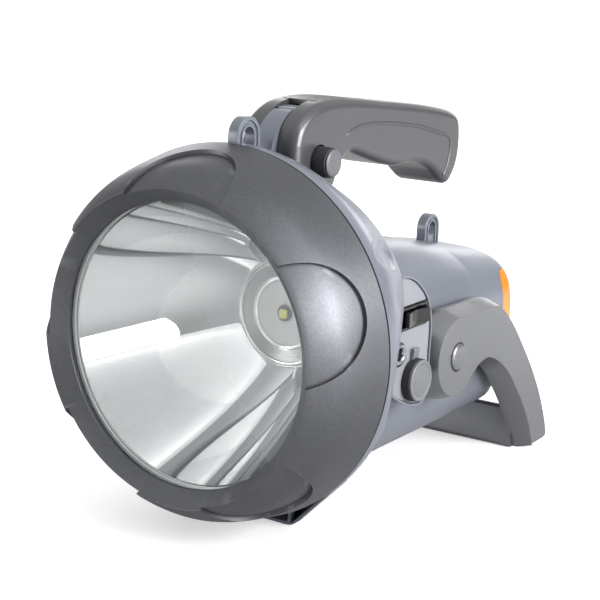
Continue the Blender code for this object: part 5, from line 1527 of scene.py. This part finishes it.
@dataclass
class Handle:
    """Two handle halves with side beads, and the lock button at their pivot."""

    half_width: float = 0.0175
    edge: float = 0.0048
    reach: float = 0.1508
    rise: float = 0.0294
    drop: float = 0.0280
    knuckle: float = 0.0217
    web_radius: float = 0.0278
    web_half: float = 0.0061
    slot_near: float = 0.0056
    slot_width: float = 0.0022
    slot_half: float = 0.0100
    slot_low: float = 0.0232
    slot_floor: float = 0.0055
    button_radius: float = 0.0080
    button_out: float = 0.0078
    button_travel: float = 0.0040
    button_wall: float = 0.0016
    button_seat: float = 0.0060
    cap_radius: float = 0.0070
    cap_rise: float = 0.0014
    bead_half: float = 0.0011
    bead_height: float = 0.0007
    front_shares: Sequence[Point] = (
        (-0.140, 0.31), (-0.120, 0.60), (-0.080, 0.80), (-0.025, 0.93), (0.047, 1.0),
        (0.18, 1.0), (0.315, 0.935), (0.45, 0.85), (0.59, 0.765), (0.71, 0.685), (0.84, 0.575),
        (0.94, 0.46), (0.985, 0.30), (1.0, 0.0))
    rear_shares: Sequence[Point] = (
        (0.995, -0.42), (0.967, -0.75), (0.92, -0.985), (0.88, -0.94), (0.835, -0.78),
        (0.78, -0.60), (0.705, -0.455), (0.62, -0.405), (0.535, -0.41), (0.41, -0.27),
        (0.30, -0.09), (0.215, 0.03), (0.17, -0.05), (0.137, -0.22), (0.118, -0.42))
    bead: Sequence[Point] = (
        (0.1141, 0.0917), (0.1253, 0.0952), (0.1414, 0.0959), (0.1659, 0.0938),
        (0.1890, 0.0903), (0.2100, 0.0854), (0.2268, 0.0798), (0.2261, 0.0665),
        (0.2205, 0.0588))

    def outline(self) -> Line:
        """Draw the handle's side outline: knuckle, grip and hook."""
        rise = [(along * self.reach, up * self.rise) for along, up in self.front_shares]
        fall = [(along * self.reach, up * self.drop) for along, up in self.rear_shares]
        points = arc((0, 0), self.knuckle, -42, -180, 20) + smooth_line(rise + fall, 4)
        return [(HANDLE_PIVOT[0] + y, HANDLE_PIVOT[1] + z) for y, z in points]

    def half(self, side: int) -> Draft:
        """Draw one half with its rounded outer edge."""
        depth, up = HANDLE_PIVOT
        outer = side * self.half_width
        bm = prism(self.outline(), side * SPLIT, outer)
        rim = [edge for edge in bm.edges
               if all(abs(vert.co.x - outer) < GAP / 10 for vert in edge.verts)]
        bmesh.ops.bevel(bm, geom=rim, offset=self.edge, offset_type="OFFSET", segments=6,
                        profile=0.5, affect="EDGES", clamp_overlap=False, material=-1)
        near = depth + self.slot_near
        far = near + self.slot_width
        span, wide, top = self.web_half, self.slot_half, up + self.rise * 2
        end = self.half_width + OVERRUN
        steps = [
            (Cut.REMOVE, disc(HANDLE_PIVOT, self.web_radius, -span, span, 96)),
            (Cut.REMOVE, block((-span, span), (depth - self.reach, far),
                               (up + self.slot_floor, top))),
            (Cut.REMOVE, block((-wide, wide), (near, far), (up + self.slot_low, top))),
            (Cut.REMOVE, disc(HANDLE_PIVOT, HANDLE_PIN + PIN_FIT, -end, end, 48))]
        if side > 0:
            steps.append((Cut.REMOVE, disc(HANDLE_PIVOT, self.button_radius + RUN,
                                           self.half_width - self.button_seat, end, 96)))
        return shaped(bm, *steps)

    def build(self) -> None:
        """Make the handle, its beads and the lock button."""
        for side, name in SIDES:
            piece("grip_half_" + name, self.half(side), "handle", Finish.GRAPHITE,
                  ["handle_" + name], sharp=38.0, edge=0.0003,
                  edge_angle=42.0)
            wall = side * (self.half_width - 0.0001)
            path = [Vector((wall, y, z)) for y, z in smooth_line(self.bead, 8)]
            bead = sweep(path, Vector((side, 0, 0)), self.bead_half, self.bead_height)
            piece("grip_bead_" + name, bead, "handle", Finish.GRAPHITE,
                  sharp=80.0)
        top = self.half_width + self.button_out
        low = self.half_width - self.button_seat + self.button_travel + GAP
        radius, wall = self.button_radius, self.button_wall
        hollow = radius - 2 * wall
        body = fillet(((0, top - wall), (hollow, top - wall), (hollow, low), (radius, low),
                       (radius - wall / 4, top), (0, top)), 0.0008, 4, closed=False)
        piece("button_body", lathe(body, 72, Axis.ACROSS, HANDLE_PIVOT), "lock_button",
              Finish.RUBBER, ["lock_button"], sharp=50.0)
        low, radius, rise = top + GAP, self.cap_radius, self.cap_rise
        top = low + rise
        cap = fillet(((0, low), (radius, low), (radius, low + rise * 0.4),
                      (radius * 0.82, top - rise * 0.15), (0, top)), 0.0009, 5, closed=False)
        # The face's lighter grey is painted light on the lit face of the rubber button.
        piece("button_face", lathe(cap, 72, Axis.ACROSS, HANDLE_PIVOT), "lock_button",
              Finish.BUTTON_PAINTED_LIGHT, ["lock_button_cap"], sharp=60.0)
        dressed(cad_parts["handle_pivot_pin"], Finish.STEEL)


@dataclass
class Stand:
    """U-shaped stand with two bevelled arms, and the pins that it swings on."""

    wall: float = 0.0050
    face: float = 0.0700
    bevel: float = 0.0032
    hub: float = 0.0245
    reach: float = 0.1210
    fall: float = 0.0777
    cap_seat: float = 0.0015
    cap_radius: float = 0.0074
    cap_rise: float = 0.0018
    bar_foot: float = 0.2425
    bar_top: float = 0.2455
    bar_top_drop: float = 0.0775
    bar_thickness: float = 0.0050
    bar_heel: float = 0.0100
    top_shares: Sequence[Point] = (
        (0.0, 0.315), (0.20, 0.305), (0.36, 0.300), (0.43, 0.255), (0.54, 0.12),
        (0.655, -0.07), (0.79, -0.32), (0.90, -0.57), (0.975, -0.80), (1.0, -0.93),
        (0.985, -0.98), (0.95, -1.0))
    under_shares: Sequence[Point] = (
        (0.803, -1.0), (0.787, -0.942), (0.748, -0.802), (0.67, -0.62), (0.582, -0.457),
        (0.50, -0.32), (0.408, -0.216), (0.296, -0.142), (0.213, -0.160))

    def outline(self) -> Line:
        """Draw the arm's side outline."""
        top = [(along * self.reach, up * self.fall) for along, up in self.top_shares]
        under = [(along * self.reach, up * self.fall) for along, up in self.under_shares]
        points = smooth_line(top, 4) + smooth_line(under, 4)
        points += arc((0, 0), self.hub, -48, -268, 58)
        return [(STAND_PIVOT[0] + y, STAND_PIVOT[1] + z) for y, z in points]

    def arm(self, side: int) -> Draft:
        """Draw one arm with its wide bevel."""
        start = side * (STAND_INNER + self.wall)
        bm = prism(self.outline(), side * STAND_INNER, start)
        bmesh.ops.recalc_face_normals(bm, faces=bm.faces[:])
        front = [face for face in bm.faces if len(face.verts) > 4
                 and abs(face.calc_center_median().x - start) < GAP]
        bmesh.ops.inset_region(bm, faces=front, thickness=self.bevel,
                               depth=self.face - STAND_INNER - self.wall, use_boundary=True,
                               use_even_offset=True)
        return bm

    def bar(self) -> Draft:
        """Draw the bar between the two toes."""
        floor = -AXIS_HEIGHT
        near, top, rise = self.bar_foot, self.bar_top, -self.bar_top_drop
        back, thick = near + self.bar_heel, self.bar_thickness
        tall = rise - floor
        outline = [(near, floor), (near + (top - near) / 3, floor + tall * 0.35),
                   (near + (top - near) * 0.7, floor + tall * 0.7), (top, rise - thick / 4),
                   (top + thick / 3, rise), (top + thick, rise - thick / 4),
                   (back - thick / 3, floor + tall * 0.4), (back, floor + thick / 3),
                   (back, floor)]
        width = STAND_INNER + self.wall / 2
        return prism(fillet(outline, 0.003, 4, least=12.0), -width, width)

    def build(self) -> None:
        """Make the stand and its two pins."""
        far = self.face + OVERRUN
        draft = shaped(self.arm(1), (Cut.JOIN, self.bar()), (Cut.JOIN, self.arm(-1)),
                       (Cut.REMOVE, both_sides(STAND_PIVOT, STAND_PIN + PIN_FIT,
                                               STAND_INNER - OVERRUN, far, 48)),
                       (Cut.REMOVE, both_sides(STAND_PIVOT, self.cap_radius + RUN,
                                               self.face - self.cap_seat, far)))
        piece("stand_frame", draft, "stand", Finish.STAND_GREY, ["stand"],
              sharp=40.0, edge=0.0007, segments=3, edge_angle=30.0)
        low = BODY_HALF - BODY_WALL + GAP
        seat = self.face - self.cap_seat + GAP
        radius, rise = self.cap_radius, self.cap_rise
        profile = fillet(((0, low), (STAND_PIN, low), (STAND_PIN, seat), (radius, seat),
                          (radius, self.face + rise / 3),
                          (radius * 0.8, self.face + rise * 0.8), (0, self.face + rise)),
                         0.0007, 4, closed=False)
        for side, name in SIDES:
            line = [(out, side * along) for out, along in profile]
            piece("swing_pin_" + name, lathe(line, 64, Axis.ACROSS, STAND_PIVOT),
                  "lamp_body", Finish.STAND_GREY, ["stand_pin_" + name],
                  sharp=50.0)


@dataclass
class InnerWorks:
    """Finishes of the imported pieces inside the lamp."""

    def build(self) -> None:
        """Dress the pieces that stay as packed."""
        wear = {
            "heat_sink": Finish.ALLOY, "tail_board": Finish.GREEN_BOARD,
            "battery": Finish.DARK, "battery_terminal_1": Finish.STEEL,
            "battery_terminal_2": Finish.STEEL, "battery_shelf": Finish.DARK,
            "charge_board": Finish.GREEN_BOARD}
        for number in range(1, 5):
            wear["tail_led_%d" % number] = Finish.EPOXY
            wear["board_post_%d" % number] = Finish.DARK
        for name, finish in wear.items():
            dressed(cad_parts[name], finish)


@dataclass
class Studio:
    """Pale floor, soft lamps and the camera."""

    eye: Sequence[float] = (0.4528, -0.71305, 0.3019)
    right: Sequence[float] = (0.82984, 0.55733, 0.02736)
    up: Sequence[float] = (-0.15121, 0.17740, 0.97245)
    back: Sequence[float] = (0.53712, -0.81112, 0.23149)
    lens: float = 96.0
    floor_size: float = 6.0
    floor_lift: float = 0.34
    floor_pale: float = 0.93
    floor_mottle: float = 0.91
    floor_bounce: float = 0.42
    # Painted shade: the floor seen in reflections darkens towards the lamp, standing in for its
    # shadow.
    mirror_painted_shade: Sequence[float] = (0.25, 1.10, 0.15, 1.0)
    horizon_level: float = 0.30
    zenith_level: float = 0.95
    level_rise: Point = (0.13, 0.80)
    boxes: Sequence[tuple[str, Sequence[float], Sequence[float], Point, float]] = (
        ("side_box", (1.10, 0.04, 0.48), (0.0, -0.06, 0.10), (0.80, 0.48), 20.0),
        ("right_box", (0.75, -0.15, 1.15), (0.0, 0.0, 0.10), (0.6, 0.6), 2.5),
        ("rear_box", (-0.34, 1.50, 0.42), (0.0, 0.05, 0.12), (0.9, 0.32), 2.9),
        ("back_box", (-1.15, 1.05, 0.62), (0.0, 0.0, 0.12), (0.7, 0.5), 4.0),
        ("left_box", (-1.00, -1.05, 0.34), (0.0, -0.08, 0.10), (0.8, 0.6), 7.0))

    def build(self) -> None:
        """Set up the whole studio."""
        self._camera()
        self._floor()
        self._world()
        for box in self.boxes:
            self._soft_box(*box)

    def _camera(self) -> None:
        """Place the camera at the photograph's viewing angle."""
        data = bpy.data.cameras.new("camera")
        data.lens = self.lens
        data.sensor_width = 36.0
        ob = placed("camera", data)
        turn = Matrix((self.right, self.up, self.back)).transposed().to_4x4()
        ob.matrix_world = Matrix.Translation(self.eye) @ turn
        bpy.context.scene.camera = ob

    def _floor(self) -> None:
        """Lay a pale floor that is darkened near the lamp in reflections, a painted shade."""
        bm = bmesh.new()
        bmesh.ops.create_grid(bm, x_segments=1, y_segments=1, size=self.floor_size)
        mesh = bpy.data.meshes.new("studio_floor")
        bm.to_mesh(mesh)
        bm.free()
        ob = placed("studio_floor", mesh)
        g = Graph("pale_floor")
        mottle = g.noise(3.0, 2.0, 0.5)
        seen, mirrored, through = (
            g.node("ShaderNodeLightPath", output="Is %s Ray" % kind)
            for kind in ("Camera", "Glossy", "Transmission"))
        reach = g.node("ShaderNodeVectorMath", {"operation": "LENGTH"}, {0: g.coords()}, "Value")
        # Reflected floor is dimmed near the lamp by distance, a painted shade.
        shown = seen + through + mirrored * g.spread(reach, *self.mirror_painted_shade)
        pale = g.blend(mottle * 0.2, (self.floor_pale,) * 3, (self.floor_mottle,) * 3)
        mesh.materials.append(g.dress(
            base_color=g.blend(shown, (self.floor_bounce,) * 3, pale),
            roughness=0.6, specular_ior_level=0.2, emission_strength=self.floor_lift,
            emission_color=g.blend(shown, (0.0, 0.0, 0.0), (1.0, 1.0, 1.0))))

    def _world(self) -> None:
        """Light everything softly from above, with a darker horizon."""
        g = Graph("studio", world=True)
        way = g.node("ShaderNodeTexCoord", output="Generated")
        rise = g.node("ShaderNodeSeparateXYZ", None, {"Vector": way}, "Z")
        level = g.node("ShaderNodeMapRange", {"interpolation_type": "SMOOTHSTEP"}, {
            "Value": rise, "From Min": self.level_rise[0], "From Max": self.level_rise[1],
            "To Min": self.horizon_level, "To Max": self.zenith_level})
        bpy.context.scene.world = g.dress(color=(1.0, 1.0, 1.0), strength=level)

    def _soft_box(self, name: str, place: Sequence[float], target: Sequence[float],
                  size: Point, power: float) -> None:
        """Hang a soft box that faces a target."""
        data = bpy.data.lights.new(name, "AREA")
        data.shape = "RECTANGLE"
        data.size, data.size_y = size
        data.energy = power
        ob = placed(name, data)
        ob.location = place
        aim = Vector(target) - Vector(place)
        ob.rotation_mode = "QUATERNION"
        ob.rotation_quaternion = aim.to_track_quat("-Z", "Y")


def main() -> None:
    """Build the dressed lamp and its studio."""
    logging.basicConfig(level=logging.INFO, format="%(message)s")
    Studio().build()
    panel = Panel()
    Bezel().build()
    Optics().build()
    Housing().build(panel)
    panel.build()
    Handle().build()
    Stand().build()
    InnerWorks().build()
    bpy.context.scene.view_settings.view_transform = "Standard"


if __name__ == "__main__":
    main()
